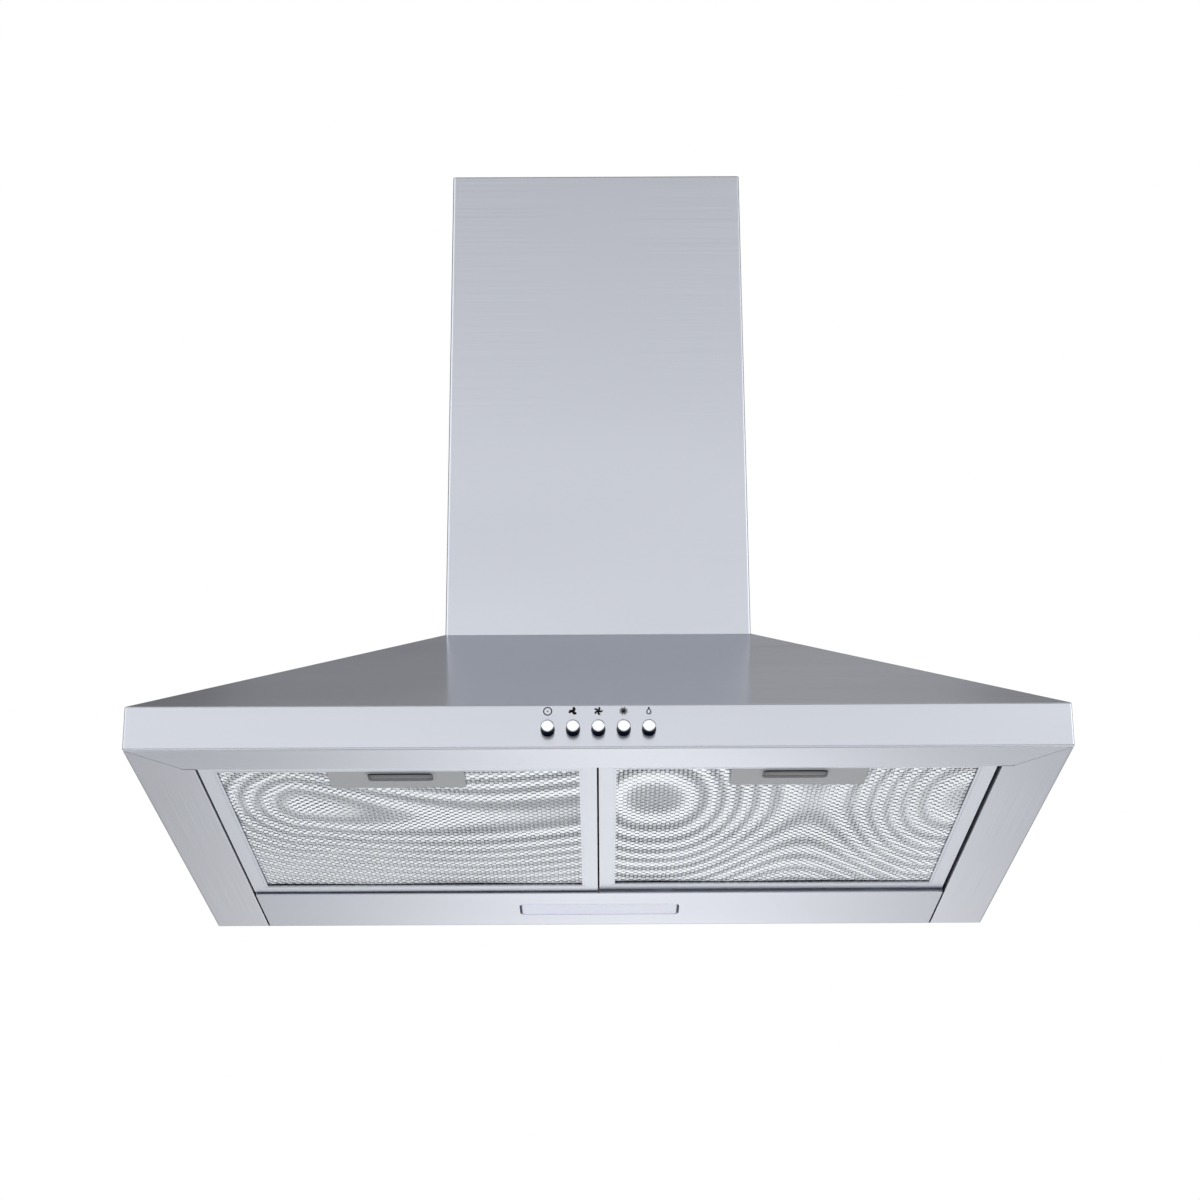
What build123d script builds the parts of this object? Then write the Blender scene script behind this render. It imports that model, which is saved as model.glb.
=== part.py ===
from build123d import *
import math
import os

# Chimney range hood, wall hung, 600 mm wide. Millimetres.
# X runs to the right as seen from the room, Y runs into the wall, Z is up.
# The origin is on the wall plane, at the middle of the hood's lower rear edge.

# ---- driving dimensions -------------------------------------------------
HOOD_WIDTH = 600.0
HOOD_DEPTH = 450.0
SHEET = 0.8  # stainless and galvanised sheet
BEND = 1.5  # outside radius of the sheet's bends
FASCIA_HEIGHT = 29.0
CANOPY_TOP = 178.0  # where the chimney cover stands on the canopy
CHIMNEY_WIDTH = 229.0
CHIMNEY_DEPTH = 175.0
CHIMNEY_TOP = 570.0
CHIMNEY_BEND = 2.0
SIDE_STRIP = 40.0  # folded border under the sides
FRONT_STRIP = 41.0  # folded border under the front
LAMP_PANEL_DEPTH = 94.5
BRACKET_SHEET = 1.2  # folded brackets and the lamp box
SEAT = 0.3  # room between pieces that lie side by side
PAST = 1.0  # how far a cut runs past the face that it opens

# ---- canopy -------------------------------------------------------------
HALF_WIDTH = HOOD_WIDTH / 2
FRONT_Y = -HOOD_DEPTH
OPENING_HALF = HALF_WIDTH - SIDE_STRIP
OPENING_FRONT = FRONT_Y + FRONT_STRIP
OPENING_REAR = -LAMP_PANEL_DEPTH
LEDGE = 1.0  # the canopy's top edge stands this far outside the chimney
TOP_HALF = CHIMNEY_WIDTH / 2 + LEDGE
TOP_FRONT = -(CHIMNEY_DEPTH + LEDGE)
SLOPE_RISE = CANOPY_TOP - FASCIA_HEIGHT
SIDE_RUN = HALF_WIDTH - TOP_HALF
FRONT_RUN = TOP_FRONT - FRONT_Y
LIP_HEIGHT = 12.0  # up-turned edges round the filter opening
LIP_ROUND = 0.6
SIDE_LIP = (OPENING_FRONT + 2.0, -14.0)
FRONT_LIP_HALF = OPENING_HALF - 4.0
NOTCH_LENGTH = 8.0  # relief notch at each front corner of the opening
NOTCH_DEPTH = 1.0
MITRE_WIDTH = 0.4
MITRE_END = 2.0  # the mitre stops this far inside the outer corner
COLLAR_GAP = 0.4  # between the canopy's collar and the chimney cover
COLLAR_RISE = 12.0
REAR_RISE_HALF = 90.0  # the back plate's raised middle
REAR_RISE_TOP = 232.0

# ---- grease filters -----------------------------------------------------
FILTER_SIDES = {"left": -1, "right": 1}
FILTER_RECESS = {"left": 2.0, "right": 3.0}  # height above the border
FILTER_HEIGHT = 9.0
FILTER_GAP_LEFT = 0.8
FILTER_GAP_MIDDLE = 1.3
FILTER_GAP_RIGHT = 1.8
FILTER_GAP_FRONT = 0.9
FILTER_GAP_REAR = 1.5
FILTER_SHEET = 1.0
FILTER_CORNER = 1.0
FILTER_BAR = 11.5
FILTER_FRONT_BAR = 11.5
FILTER_REAR_BAR = 14.5
FILTER_HEM = 1.4  # hemmed edge along the window
HEM_GROOVE = 0.5
HEM_DEPTH = 0.35
FILTER_GAPS = FILTER_GAP_LEFT + FILTER_GAP_MIDDLE + FILTER_GAP_RIGHT
FILTER_WIDTH = OPENING_HALF - FILTER_GAPS / 2
FILTER_FRONT = OPENING_FRONT + FILTER_GAP_FRONT
FILTER_REAR = OPENING_REAR - FILTER_GAP_REAR
FILTER_CENTRES = {
    "left": -OPENING_HALF + FILTER_GAP_LEFT + FILTER_WIDTH / 2,
    "right": OPENING_HALF - FILTER_GAP_RIGHT - FILTER_WIDTH / 2,
}
MESH_GAP = 0.2
MESH_LAYERS = 4
MESH_LAYER_THICK = 0.5
TAB_OFFSET = 80.0
TAB_WIDTH = 14.0
TAB_LENGTH = 10.0
TAB_Z = 7.6

# ---- filter latches, heights above the filter's lower face ---------------
LATCH_INNER = 41.7  # from the slot's middle to the plate's end towards the hood's middle
LATCH_OUTER = 47.0
LATCH_FRONT = FILTER_FRONT + FILTER_FRONT_BAR + MESH_GAP
LATCH_REAR = FILTER_FRONT + 47.1
LATCH_SHEET = 1.0
LATCH_BOX_HEIGHT = 6.4
SLOT_SHIFT = 1.0  # the slot's middle lies this far from the filter's, towards the hood's middle
SLOT_WIDTH = 42.6
SLOT_DEPTH = 17.0
SLOT_CORNER = 3.5
SLOT_MIDDLE = FILTER_FRONT + 22.1
RIM_WIDTH = 1.0  # rolled edge round the slot
RIM_PROUD = 0.5
GRIP_HALF = 30.5
GRIP_DEPTH = 8.0
GRIP_LOW = 1.4
GRIP_HIGH = 5.7
GRIP_BEFORE = 1.0  # the grip's face stands this far before the slot's rear edge
GRIP_ROUND = 1.2
ARM_WIDTH = 8.0
ARM_OFFSET = 26.5
ARM_THICK = 1.0
ARM_LOW = 2.2
ARM_ROOM = 0.4
TONGUE_CLEAR = 0.35

# ---- push buttons -------------------------------------------------------
BUTTON_NAMES = ("off", "low", "medium", "high", "light")
BUTTON_PITCH = 16.0
BUTTON_RADIUS = 4.2
BUTTON_HOLE_RADIUS = 4.55
BUTTON_HEIGHT = 12.5
BUTTON_PROUD = 8.0
BUTTON_ROUND = 0.9
BUTTON_CAP_LENGTH = 11.0
BUTTON_STEM_RADIUS = 2.0
BUTTON_STEM_LENGTH = 11.0
BUTTON_BORE_CLEAR = 0.08
BUTTON_BORE_DEPTH = 12.5
SWITCH_FRONT_GAP = 7.0  # from the fascia's face to the switch bank's face
SWITCH_LENGTH = 84.0
SWITCH_DEPTH = 18.0
SWITCH_HEIGHT = 18.0
TERMINAL_OFFSET = 2.0
TERMINAL_THICK = 0.8
TERMINAL_LENGTH = 6.0
TERMINAL_DROP = (8.0, 3.0)  # a terminal's lower and upper edge, below the bank's top
SWITCH_EAR = 14.0
SWITCH_CHEEK = 16.0
SWITCH_FOOT = (4.0, 14.0)  # the feet, behind the bank's face
SWITCH_FOOT_HALF = 5.0
SWITCH_FOOT_OFFSET = 8.0

# ---- lamp ---------------------------------------------------------------
LENS_LENGTH = 121.0
LENS_DEPTH = 31.0
LENS_CORNER = 5.0
LENS_THICK = 3.2
LENS_LOW = 0.1
LENS_ROUND = 1.2
LENS_END_GAP = 0.7
LENS_SIDE_GAP = 0.25
LENS_Y = -47.0
SKIRT_INSET = 3.0
SKIRT_WALL = 1.5
SKIRT_HEIGHT = 6.0
LAMP_PANEL_GAP = 1.3
LAMP_PANEL_SIDE = 10.0  # height of the folded side edges
LAMP_PANEL_LIP = 7.2  # height of the rib that the filters' tabs rest on
LAMP_PANEL_LIP_BACK = 4.0
LAMP_BOX_LENGTH = 136.0
LAMP_BOX_DEPTH = 44.0
LAMP_BOX_TOP = 24.0
LAMP_BOX_CORNER = 6.0
LAMP_FLANGE = 10.0
LAMP_SCREW_X = LAMP_BOX_LENGTH / 2 + 5.0
BOARD_HALF = 52.0
BOARD_HALF_DEPTH = 8.0
BOARD_THICK = 1.6
CHIPS = 6
CHIP_PITCH = 17.0
CHIP_HALF = 2.5
CHIP_THICK = 1.0

# ---- screws -------------------------------------------------------------
SCREW_RADIUS = 1.6
SCREW_FIT = 0.02
SCREW_HEAD_RADIUS = 3.2
SCREW_HEAD_HEIGHT = 2.2

# ---- blower -------------------------------------------------------------
FAN_Y = -109.5
FAN_Z = 118.0
FAN_HALF = 65.0  # half the housing's width
FAN_WALL = 2.5
SCROLL_STEP = 9.0  # growth of the spiral each quarter turn
SCROLL_START = 79.5
NECK_FRONT = -163.0
NECK_FLARE_Z = 226.0
NECK_TOP = 245.0
INLET_RADIUS = 57.0
INLET_LIP = 4.0
INLET_CHAMFER = 1.6
LUG_RADIUS = 5.0
LUG_LENGTH = 10.0
LUG_SINK = 1.5
LUG_ANGLES = (165, 235, 300)
NECK_LUG = (NECK_FRONT + 19.5, NECK_FLARE_Z - 20.3)
BLOWER_BRACKET_Z = (50.0, 190.0)
BLOWER_BRACKET_FRONT = -44.0
BLOWER_BRACKET_FOOT = 26.0
KEYHOLE_ROOM = (8.0, 22.0, 30.0)  # cut in the bracket's foot: from the flange, below and above

# ---- wheel and motor ----------------------------------------------------
WHEEL_RADIUS = 68.0
WHEEL_BLADE_INNER = 57.0
WHEEL_HALF = 50.0
WHEEL_BLADES = 24
WHEEL_RING = 3.0
WHEEL_DISC = 2.0
BLADE_THICK = 1.4
BLADE_LEAN = 22.0
BLADE_SINK = 0.5  # the blades end this far inside the rings' edges
BLADE_HOLLOW = 9.5  # radius of the blades' hollow face
HUB_RADIUS = 11.0
HUB_HALF = 9.0
SHAFT_RADIUS = 4.0
SHAFT_CLEAR = 0.05
SHAFT_CHAMFER = 0.5
SHAFT_IN_MOTOR = 12.0
SHAFT_PAST_HUB = 5.0
MOTOR_RADIUS = 42.0
MOTOR_INNER_X = -14.0
MOTOR_OUTER_X = -80.0
MOTOR_CHAMFER = 5.0
MOTOR_BOSS = (12.0, 6.0)  # radius and length of the bearing boss
MOTOR_GROOVES = (-66.0, -55.0, -44.0)
MOTOR_GROOVE = (4.0, 1.5)  # width and depth
SPIDER_WALL = 2.5
SPIDER_X = (-FAN_HALF - 5.0, -FAN_HALF - 2.0)
SPIDER_REACH = INLET_RADIUS + INLET_LIP + 8.0
SPIDER_ANGLES = (30, 150, 270)
SPIDER_ARM = 9.0
SPIDER_FOOT = 6.0
BUSH_RADIUS = 5.0
GUARD_RINGS = (18.0, 34.0, 50.0)
GUARD_RING = 2.4
GUARD_SPOKE = 3.0
GUARD_RIM = (-1.0, 3.0)  # the guard's rim, inside and outside the inlet

# ---- duct outlet --------------------------------------------------------
COLLAR_Y = -87.0
COLLAR_RADIUS = 74.5
COLLAR_WALL = 2.0
COLLAR_TOP = 300.0
COLLAR_PLATE = 156.0
COLLAR_PLATE_DEPTH = 158.0
COLLAR_PLATE_THICK = 3.0
COLLAR_PLATE_CORNER = 6.0
COLLAR_SCREW_X = 71.5
COLLAR_SCREW_Y = (COLLAR_Y - 72.0, COLLAR_Y + 72.0)
FLANGE_HALF = 78.0  # ears on the blower's neck under the collar's base
FLANGE_Y = (COLLAR_Y - 79.0, COLLAR_Y + 79.0)
FLANGE_THICK = 3.0
FLAP_Z = 262.0
FLAP_RADIUS = 71.4
FLAP_THICK = 1.2
FLAP_PIN_RADIUS = 1.5
FLAP_PIN_CLEAR = 0.05
FLAP_PIN_INSET = 0.2
FLAP_EDGE = 3.6  # from the pin's axis to the flap's straight edge
KNUCKLE_RADIUS = 3.0
FRONT_KNUCKLES = ((-60.0, -22.0), (22.0, 60.0))
REAR_KNUCKLES = ((-20.0, 20.0),)
STOP_RING = (3.6, 1.0)  # the stop ring's lower and upper face, below the pin's axis
STOP_WIDTH = 3.5
STOP_GAP = 5.0  # half the gap that the stop ring leaves for the pin

# ---- wall side ----------------------------------------------------------
KEYHOLE_X = 105.0
KEYHOLE_Z = 132.0
KEYHOLE_RADIUS = 5.5
KEYHOLE_SLOT_RADIUS = 2.75
KEYHOLE_RISE = 12.0
FIXING_X = 210.0
FIXING_Z = 48.0
FIXING_RADIUS = 3.25
BRACKET_HOLE_X = 70.0
BRACKET_HOLE_RADIUS = 2.75

# ---- upper chimney ------------------------------------------------------
OUTER_RETURN = 15.0
INNER_RETURN = 18.0
INNER_GAP = 0.5
INNER_HALF = CHIMNEY_WIDTH / 2 - SHEET - INNER_GAP
INNER_FRONT = -CHIMNEY_DEPTH + SHEET + INNER_GAP
INNER_REAR = -SHEET - INNER_GAP
INNER_LOW = CANOPY_TOP + 16.0
INNER_TOP = CHIMNEY_TOP - 2.0
INNER_BEND = 1.6
LOUVRES = 4
LOUVRE_LENGTH = 60.0
LOUVRE_WIDTH = 5.0
LOUVRE_PITCH = 12.0
LOUVRE_TOP = INNER_TOP - 40.0
STRAP_Z = (INNER_TOP - 26.0, INNER_TOP - 6.0)
STRAP_HALF = 88.0
STRAP_STEP = 5.0  # the strap's ends stand this far off the wall
STRAP_ARM = 24.0
CEILING_SCREW_Y = -16.0
CEILING_SCREW_LENGTH = 6.0

# ---- electrical parts ---------------------------------------------------
TERMINAL_BOX_X = (112.0, 176.0)
TERMINAL_BOX_Z = (44.0, 84.0)
TERMINAL_BOX_FRONT = -32.0
TERMINAL_BOX_CORNER = 3.0
TERMINAL_WALL = 2.0
LID_THICK = 2.0
LID_RIB = 2.5
INLET_X = 144.0
INLET_Y = -16.0
GROMMET_NECK = 6.0
GROMMET_FLANGE = 7.5
GROMMET_BORE = 3.6
GROMMET_LIP = 2.0
CAPACITOR_X = -140.0
CAPACITOR_Z = (44.0, 96.0)
CAPACITOR_RADIUS = 14.0
CAPACITOR_CHAMFER = 2.0
TAG_OFFSET = 4.0
TAG_SIZE = (2.0, 6.4, 7.0)
CLIP_Z = (62.0, 74.0)
CLIP_WALL = 1.2
CLIP_FOOT_END = -112.0
LEAD_RADIUS = 2.5
LEAD_SIDES = 8
LOOM_RADIUS = 3.0
LEAD_Y = -16.0
LEAD_BEND = 9.0
LOOM_BEND = 10.0
LOOM_START_X = -38.0
LOOM_FRONT_Y = FRONT_Y + SWITCH_FRONT_GAP + SWITCH_DEPTH + 9.6
LOOM_SIDE_X = 278.0
LOOM_RETURN_X = 192.0
LOOM_Z = 16.0
LOOM_BOX_Z = 58.0
LOOM_CLIPS_X = (120.0, 220.0)
LOOM_CLIPS_Y = (-350.0, -250.0, -150.0, -60.0)
LOOM_CLIP_HALF = 5.0
LOOM_CLIP_THICK = 8.0
MOTOR_LEAD_X = 126.0
MOTOR_LEAD_SIDE_X = -102.0
MOTOR_LEAD_Y = -92.0
MOTOR_LEAD_Z = 108.0
LAMP_LEAD_X = 162.0
LAMP_LEAD_START_X = 48.0
LEAD_LOW_Z = 34.0
LEAD_IN_BOX = 8.0  # the leads end this far inside the terminal box
CAPACITOR_LEAD_Y = -102.0
CAPACITOR_LEAD_Z = 128.0
CAPACITOR_LEAD_BEND = 14.0


def put(shape, name):
    """Write one sub-part to its own STEP file."""
    export_step(shape, f"parts/{name}.step")


def block(x0, x1, y0, y1, z0, z1):
    """An axis-aligned block from its two corners."""
    centre = ((x0 + x1) / 2, (y0 + y1) / 2, (z0 + z1) / 2)
    return Pos(*centre) * Box(abs(x1 - x0), abs(y1 - y0), abs(z1 - z0))


def rod_x(radius, x0, x1, y, z):
    """A round rod along X."""
    return Plane.YZ.offset(x0) * Pos(y, z) * extrude(Circle(radius), x1 - x0)


def rod_y(radius, y0, y1, x, z):
    """A round rod along Y."""
    return Plane.XZ.offset(-y0) * Pos(x, z) * extrude(Circle(radius), y0 - y1)


def rod_z(radius, z0, z1, x, y):
    """A round rod along Z."""
    return Pos(x, y, z0) * extrude(Circle(radius), z1 - z0)


def group(solids):
    """Separate solids that share one node."""
    return Compound(children=list(solids))


def arc_middle(centre, radius, degrees):
    """A point on a circle."""
    angle = math.radians(degrees)
    return (centre[0] + radius * math.cos(angle), centre[1] + radius * math.sin(angle))


def front_uprights(body):
    """The upright edges of a body's two front corners."""
    return body.edges().filter_by(Axis.Z).sort_by(Axis.Y)[:2]


# ---- canopy -------------------------------------------------------------
def canopy_half_width(z):
    """Half the width of the canopy's outside at a height on its slope."""
    return HALF_WIDTH - SIDE_RUN * (z - FASCIA_HEIGHT) / SLOPE_RISE


def canopy_front(z):
    """Y of the canopy's outside at a height on its front slope."""
    return FRONT_Y + FRONT_RUN * (z - FASCIA_HEIGHT) / SLOPE_RISE


def canopy_form(inset, bend):
    """The canopy's outside, or its inside for an inset of one sheet, with every fold rounded."""
    side_shift = inset * math.hypot(SIDE_RUN, SLOPE_RISE) / SLOPE_RISE
    front_shift = inset * math.hypot(FRONT_RUN, SLOPE_RISE) / SLOPE_RISE
    knee = FASCIA_HEIGHT - (side_shift - inset) * SLOPE_RISE / SIDE_RUN
    top = CANOPY_TOP - inset
    half = HALF_WIDTH - inset
    front = FRONT_Y + inset
    top_half = canopy_half_width(top) - side_shift
    top_front = canopy_front(top) + front_shift
    knee_outline = Pos(0, front / 2, knee) * Rectangle(2 * half, -front)
    top_outline = Pos(0, top_front / 2, top) * Rectangle(2 * top_half, -top_front)
    form = loft([knee_outline, top_outline], ruled=True)
    form += block(-half, half, front, 0, inset, knee)
    return fillet(form.edges().filter_by(lambda edge: is_fold(edge, top)), bend)


def is_fold(edge, top):
    """True for the folds and corners of the canopy: all edges but those at its open back and its top."""
    middle = edge.position_at(0.5)
    return middle.Y < -PAST and middle.Z < top - PAST / 2


def opening_lips():
    """The up-turned edges of the filter opening, each rounded where it leaves the border."""
    front_lip = block(-FRONT_LIP_HALF, FRONT_LIP_HALF, OPENING_FRONT - SHEET, OPENING_FRONT, 0, LIP_HEIGHT)
    front_fold = front_lip.edges().filter_by(Axis.X).group_by(Axis.Z)[0].sort_by(Axis.Y)[-1]
    lips = [fillet(front_fold, LIP_ROUND)]
    side_lip = block(OPENING_HALF, OPENING_HALF + SHEET, *SIDE_LIP, 0, LIP_HEIGHT)
    side_fold = side_lip.edges().filter_by(Axis.Y).group_by(Axis.Z)[0].sort_by(Axis.X)[0]
    side_lip = fillet(side_fold, LIP_ROUND)
    return lips + [side_lip, mirror(side_lip, Plane.YZ)]


def border_opening():
    """What is cut out of the closed border: the filter opening and room for its lips and the back plate."""
    low, high = -PAST, SHEET + BEND
    cut = block(-OPENING_HALF, OPENING_HALF, OPENING_FRONT, PAST, low, high)
    cut += block(-OPENING_HALF - SHEET, OPENING_HALF + SHEET, *SIDE_LIP, low, high)
    cut += block(-FRONT_LIP_HALF, FRONT_LIP_HALF, OPENING_FRONT - SHEET, OPENING_FRONT, low, high)
    return cut + block(-HALF_WIDTH + SHEET, HALF_WIDTH - SHEET, -SHEET, PAST, low, high)


def corner_mitre():
    """The slit where the front and right borders meet, from the relief notch to the outer corner."""
    low, high = -PAST, SHEET + PAST
    notch_end = OPENING_HALF + NOTCH_LENGTH
    notch = block(OPENING_HALF - PAST, notch_end, OPENING_FRONT - NOTCH_DEPTH, OPENING_FRONT, low, high)
    start = (notch_end - PAST, OPENING_FRONT - NOTCH_DEPTH / 2)
    end = (HALF_WIDTH - MITRE_END, FRONT_Y + MITRE_END)
    run = (end[0] - start[0], end[1] - start[1])
    slit = block(0, math.hypot(*run), -MITRE_WIDTH / 2, MITRE_WIDTH / 2, low, high)
    angle = math.degrees(math.atan2(run[1], run[0]))
    return notch + Pos(*start, 0) * Rot(0, 0, angle) * slit


def chimney_collar():
    """The canopy's up-turned collar, which the chimney cover fits over."""
    half = CHIMNEY_WIDTH / 2 - SHEET - COLLAR_GAP
    front = -CHIMNEY_DEPTH + SHEET + COLLAR_GAP
    collar = block(-half, half, front, -SHEET - COLLAR_GAP, CANOPY_TOP - SHEET, CANOPY_TOP + COLLAR_RISE)
    return fillet(front_uprights(collar), CHIMNEY_BEND - SHEET)


def canopy_shell():
    """Stainless canopy: fascia, three slopes, the borders folded under and the collar under the chimney."""
    shell = canopy_form(0, BEND) - canopy_form(SHEET, BEND - SHEET)
    bore_half = CHIMNEY_WIDTH / 2 - 2 * SHEET - COLLAR_GAP
    bore_front = -CHIMNEY_DEPTH + 2 * SHEET + COLLAR_GAP
    bore_z = (CANOPY_TOP - SHEET - PAST, CANOPY_TOP + COLLAR_RISE + PAST)
    shell += chimney_collar()
    shell -= block(-bore_half, bore_half, bore_front, PAST, *bore_z)
    shell -= border_opening()
    for lip in opening_lips():
        shell += lip
    shell -= corner_mitre()
    shell -= mirror(corner_mitre(), Plane.YZ)
    for x in button_places():
        shell -= rod_y(BUTTON_HOLE_RADIUS, FRONT_Y - PAST, FRONT_Y + SHEET + PAST, x, BUTTON_HEIGHT)
    return shell


def keyhole(x):
    """The cutter of one keyhole: a round hole with a slot above it."""
    hole = rod_y(KEYHOLE_RADIUS, -SHEET - PAST, PAST, x, KEYHOLE_Z)
    hole += rod_y(KEYHOLE_SLOT_RADIUS, -SHEET - PAST, PAST, x, KEYHOLE_Z + KEYHOLE_RISE)
    left, right = x - KEYHOLE_SLOT_RADIUS, x + KEYHOLE_SLOT_RADIUS
    return hole + block(left, right, -SHEET - PAST, PAST, KEYHOLE_Z, KEYHOLE_Z + KEYHOLE_RISE)


def rear_panel():
    """Galvanised back plate with two keyholes, two fixing holes and a raised middle behind the blower."""
    inner = HALF_WIDTH - SHEET - SEAT
    knee = FASCIA_HEIGHT - SHEET
    top_half = canopy_half_width(CANOPY_TOP - SHEET) - 2 * SHEET
    top = CANOPY_TOP - SHEET - SEAT
    right = [(inner, 0), (inner, knee), (top_half, top)]
    left = [(-x, z) for x, z in reversed(right)]
    plate = extrude(Plane.XZ * make_face(Polyline(right + left, close=True)), SHEET)
    plate += block(-REAR_RISE_HALF, REAR_RISE_HALF, -SHEET, 0, top - PAST, REAR_RISE_TOP)
    for side in (-1, 1):
        plate -= keyhole(side * KEYHOLE_X)
        plate -= rod_y(FIXING_RADIUS, -SHEET - PAST, PAST, side * FIXING_X, FIXING_Z)
    return plate


# ---- lamp panel and lamp ------------------------------------------------
def lens_outline(grow_x, grow_y):
    """Rounded outline of the lens, grown for its cut-out."""
    return RectangleRounded(LENS_LENGTH + 2 * grow_x, LENS_DEPTH + 2 * grow_y, LENS_CORNER)


def lamp_panel():
    """Stainless panel behind the filters: lens cut-out, folded edges and a rib for the filters' tabs."""
    half = OPENING_HALF - LAMP_PANEL_GAP
    rear = -SHEET - SEAT
    rib = OPENING_REAR + LAMP_PANEL_LIP_BACK
    panel = block(-half, half, OPENING_REAR, rear, 0, SHEET)
    panel += block(-half, half, rib, rib + SHEET, 0, LAMP_PANEL_LIP)
    panel += block(-half, -half + SHEET, OPENING_REAR, rear, 0, LAMP_PANEL_SIDE)
    panel += block(half - SHEET, half, OPENING_REAR, rear, 0, LAMP_PANEL_SIDE)
    cut = extrude(lens_outline(LENS_END_GAP, LENS_SIDE_GAP), SHEET + 2 * PAST)
    return panel - Pos(0, LENS_Y, -PAST) * cut


def lamp_lens():
    """Frosted cover: a flat face with a rounded edge and a skirt that clips up into the lamp box."""
    face = Pos(0, LENS_Y, LENS_LOW) * extrude(lens_outline(0, 0), LENS_THICK)
    face = fillet(face.faces().sort_by(Axis.Z)[0].edges(), LENS_ROUND)
    skirt = Rectangle(LENS_LENGTH - 2 * SKIRT_INSET, LENS_DEPTH - 2 * SKIRT_INSET)
    hollow = offset(skirt, -SKIRT_WALL)
    top = LENS_LOW + LENS_THICK
    face += Pos(0, LENS_Y, top) * extrude(skirt - hollow, SKIRT_HEIGHT)
    return face - Pos(0, LENS_Y, top - LENS_ROUND) * extrude(hollow, SKIRT_HEIGHT)


def lamp_housing():
    """Pressed reflector box over the lens, open below, with a flange that sits on the panel."""
    outline = RectangleRounded(LAMP_BOX_LENGTH, LAMP_BOX_DEPTH, LAMP_BOX_CORNER)
    cavity = offset(outline, -BRACKET_SHEET)
    flange = RectangleRounded(LAMP_BOX_LENGTH + 2 * LAMP_FLANGE, LAMP_BOX_DEPTH, LAMP_BOX_CORNER)
    box = extrude(outline, LAMP_BOX_TOP - SHEET) + extrude(flange, BRACKET_SHEET)
    box -= Pos(0, 0, -PAST) * extrude(cavity, LAMP_BOX_TOP - SHEET - BRACKET_SHEET + PAST)
    box = Pos(0, LENS_Y, SHEET) * box
    for side in (-1, 1):
        box -= rod_z(SCREW_RADIUS, 0, SHEET + BRACKET_SHEET + PAST, side * LAMP_SCREW_X, LENS_Y)
    return box


def lamp_board():
    """Lamp board under the box's roof with its row of light-emitting chips."""
    roof = LAMP_BOX_TOP - BRACKET_SHEET
    low = roof - BOARD_THICK
    chip_y = (LENS_Y - CHIP_HALF, LENS_Y + CHIP_HALF)
    board = block(-BOARD_HALF, BOARD_HALF, LENS_Y - BOARD_HALF_DEPTH, LENS_Y + BOARD_HALF_DEPTH, low, roof)
    for k in range(CHIPS):
        x = (k - (CHIPS - 1) / 2) * CHIP_PITCH
        board += block(x - CHIP_HALF, x + CHIP_HALF, *chip_y, low - CHIP_THICK, low)
    return board


def screw(x, y, z, direction, length):
    """A flat-head screw. Its head sits on the point and its shank runs along the direction."""
    plane = Plane(origin=(x, y, z), z_dir=direction)
    head = extrude(plane * Circle(SCREW_HEAD_RADIUS), -SCREW_HEAD_HEIGHT)
    return head + extrude(plane * Circle(SCREW_RADIUS - SCREW_FIT), length)


def lamp_screws():
    """Two screws down through the lamp box's flange."""
    top = SHEET + BRACKET_SHEET
    return group(screw(side * LAMP_SCREW_X, LENS_Y, top, (0, 0, -1), BRACKET_SHEET) for side in (-1, 1))


# ---- push buttons -------------------------------------------------------
def button_places():
    """X of each push button, left to right."""
    middle = (len(BUTTON_NAMES) - 1) / 2
    return [(k - middle) * BUTTON_PITCH for k in range(len(BUTTON_NAMES))]


def push_button(x):
    """A round cap with a rounded rim and a stem that runs in the switch bank."""
    front = FRONT_Y - BUTTON_PROUD
    back = front + BUTTON_CAP_LENGTH
    cap = rod_y(BUTTON_RADIUS, front, back, x, BUTTON_HEIGHT)
    cap = fillet(cap.edges().filter_by(GeomType.CIRCLE).sort_by(Axis.Y)[0], BUTTON_ROUND)
    return cap + rod_y(BUTTON_STEM_RADIUS, back - PAST, back + BUTTON_STEM_LENGTH, x, BUTTON_HEIGHT)


def switch_bank():
    """Moulded switch body with five plunger bores and its row of terminals."""
    front = FRONT_Y + SWITCH_FRONT_GAP
    rear = front + SWITCH_DEPTH
    high = BUTTON_HEIGHT + SWITCH_HEIGHT / 2
    terminal_z = (high - TERMINAL_DROP[0], high - TERMINAL_DROP[1])
    body = block(-SWITCH_LENGTH / 2, SWITCH_LENGTH / 2, front, rear, high - SWITCH_HEIGHT, high)
    bore = BUTTON_STEM_RADIUS + BUTTON_BORE_CLEAR
    for x in button_places():
        body -= rod_y(bore, front - PAST, front + BUTTON_BORE_DEPTH, x, BUTTON_HEIGHT)
        for terminal in (x - TERMINAL_OFFSET, x + TERMINAL_OFFSET):
            sides = (terminal - TERMINAL_THICK / 2, terminal + TERMINAL_THICK / 2)
            body += block(*sides, rear, rear + TERMINAL_LENGTH, *terminal_z)
    return body


def switch_bracket():
    """Folded bracket that holds the switch bank behind the fascia and stands on the front border."""
    front = FRONT_Y + SWITCH_FRONT_GAP
    rear = front + SWITCH_DEPTH
    high = BUTTON_HEIGHT - SWITCH_HEIGHT / 2
    low = high - BRACKET_SHEET
    half = SWITCH_LENGTH / 2
    bracket = block(-half - SWITCH_EAR, half + SWITCH_EAR, front, rear, low, high)
    for side in (-1, 1):
        bracket += block(side * half, side * (half + BRACKET_SHEET), front, rear, low, high + SWITCH_CHEEK)
        foot = side * (half + SWITCH_FOOT_OFFSET)
        foot_y = (front + SWITCH_FOOT[0], front + SWITCH_FOOT[1])
        bracket += block(foot - SWITCH_FOOT_HALF, foot + SWITCH_FOOT_HALF, *foot_y, SHEET, low)
    return bracket


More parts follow.
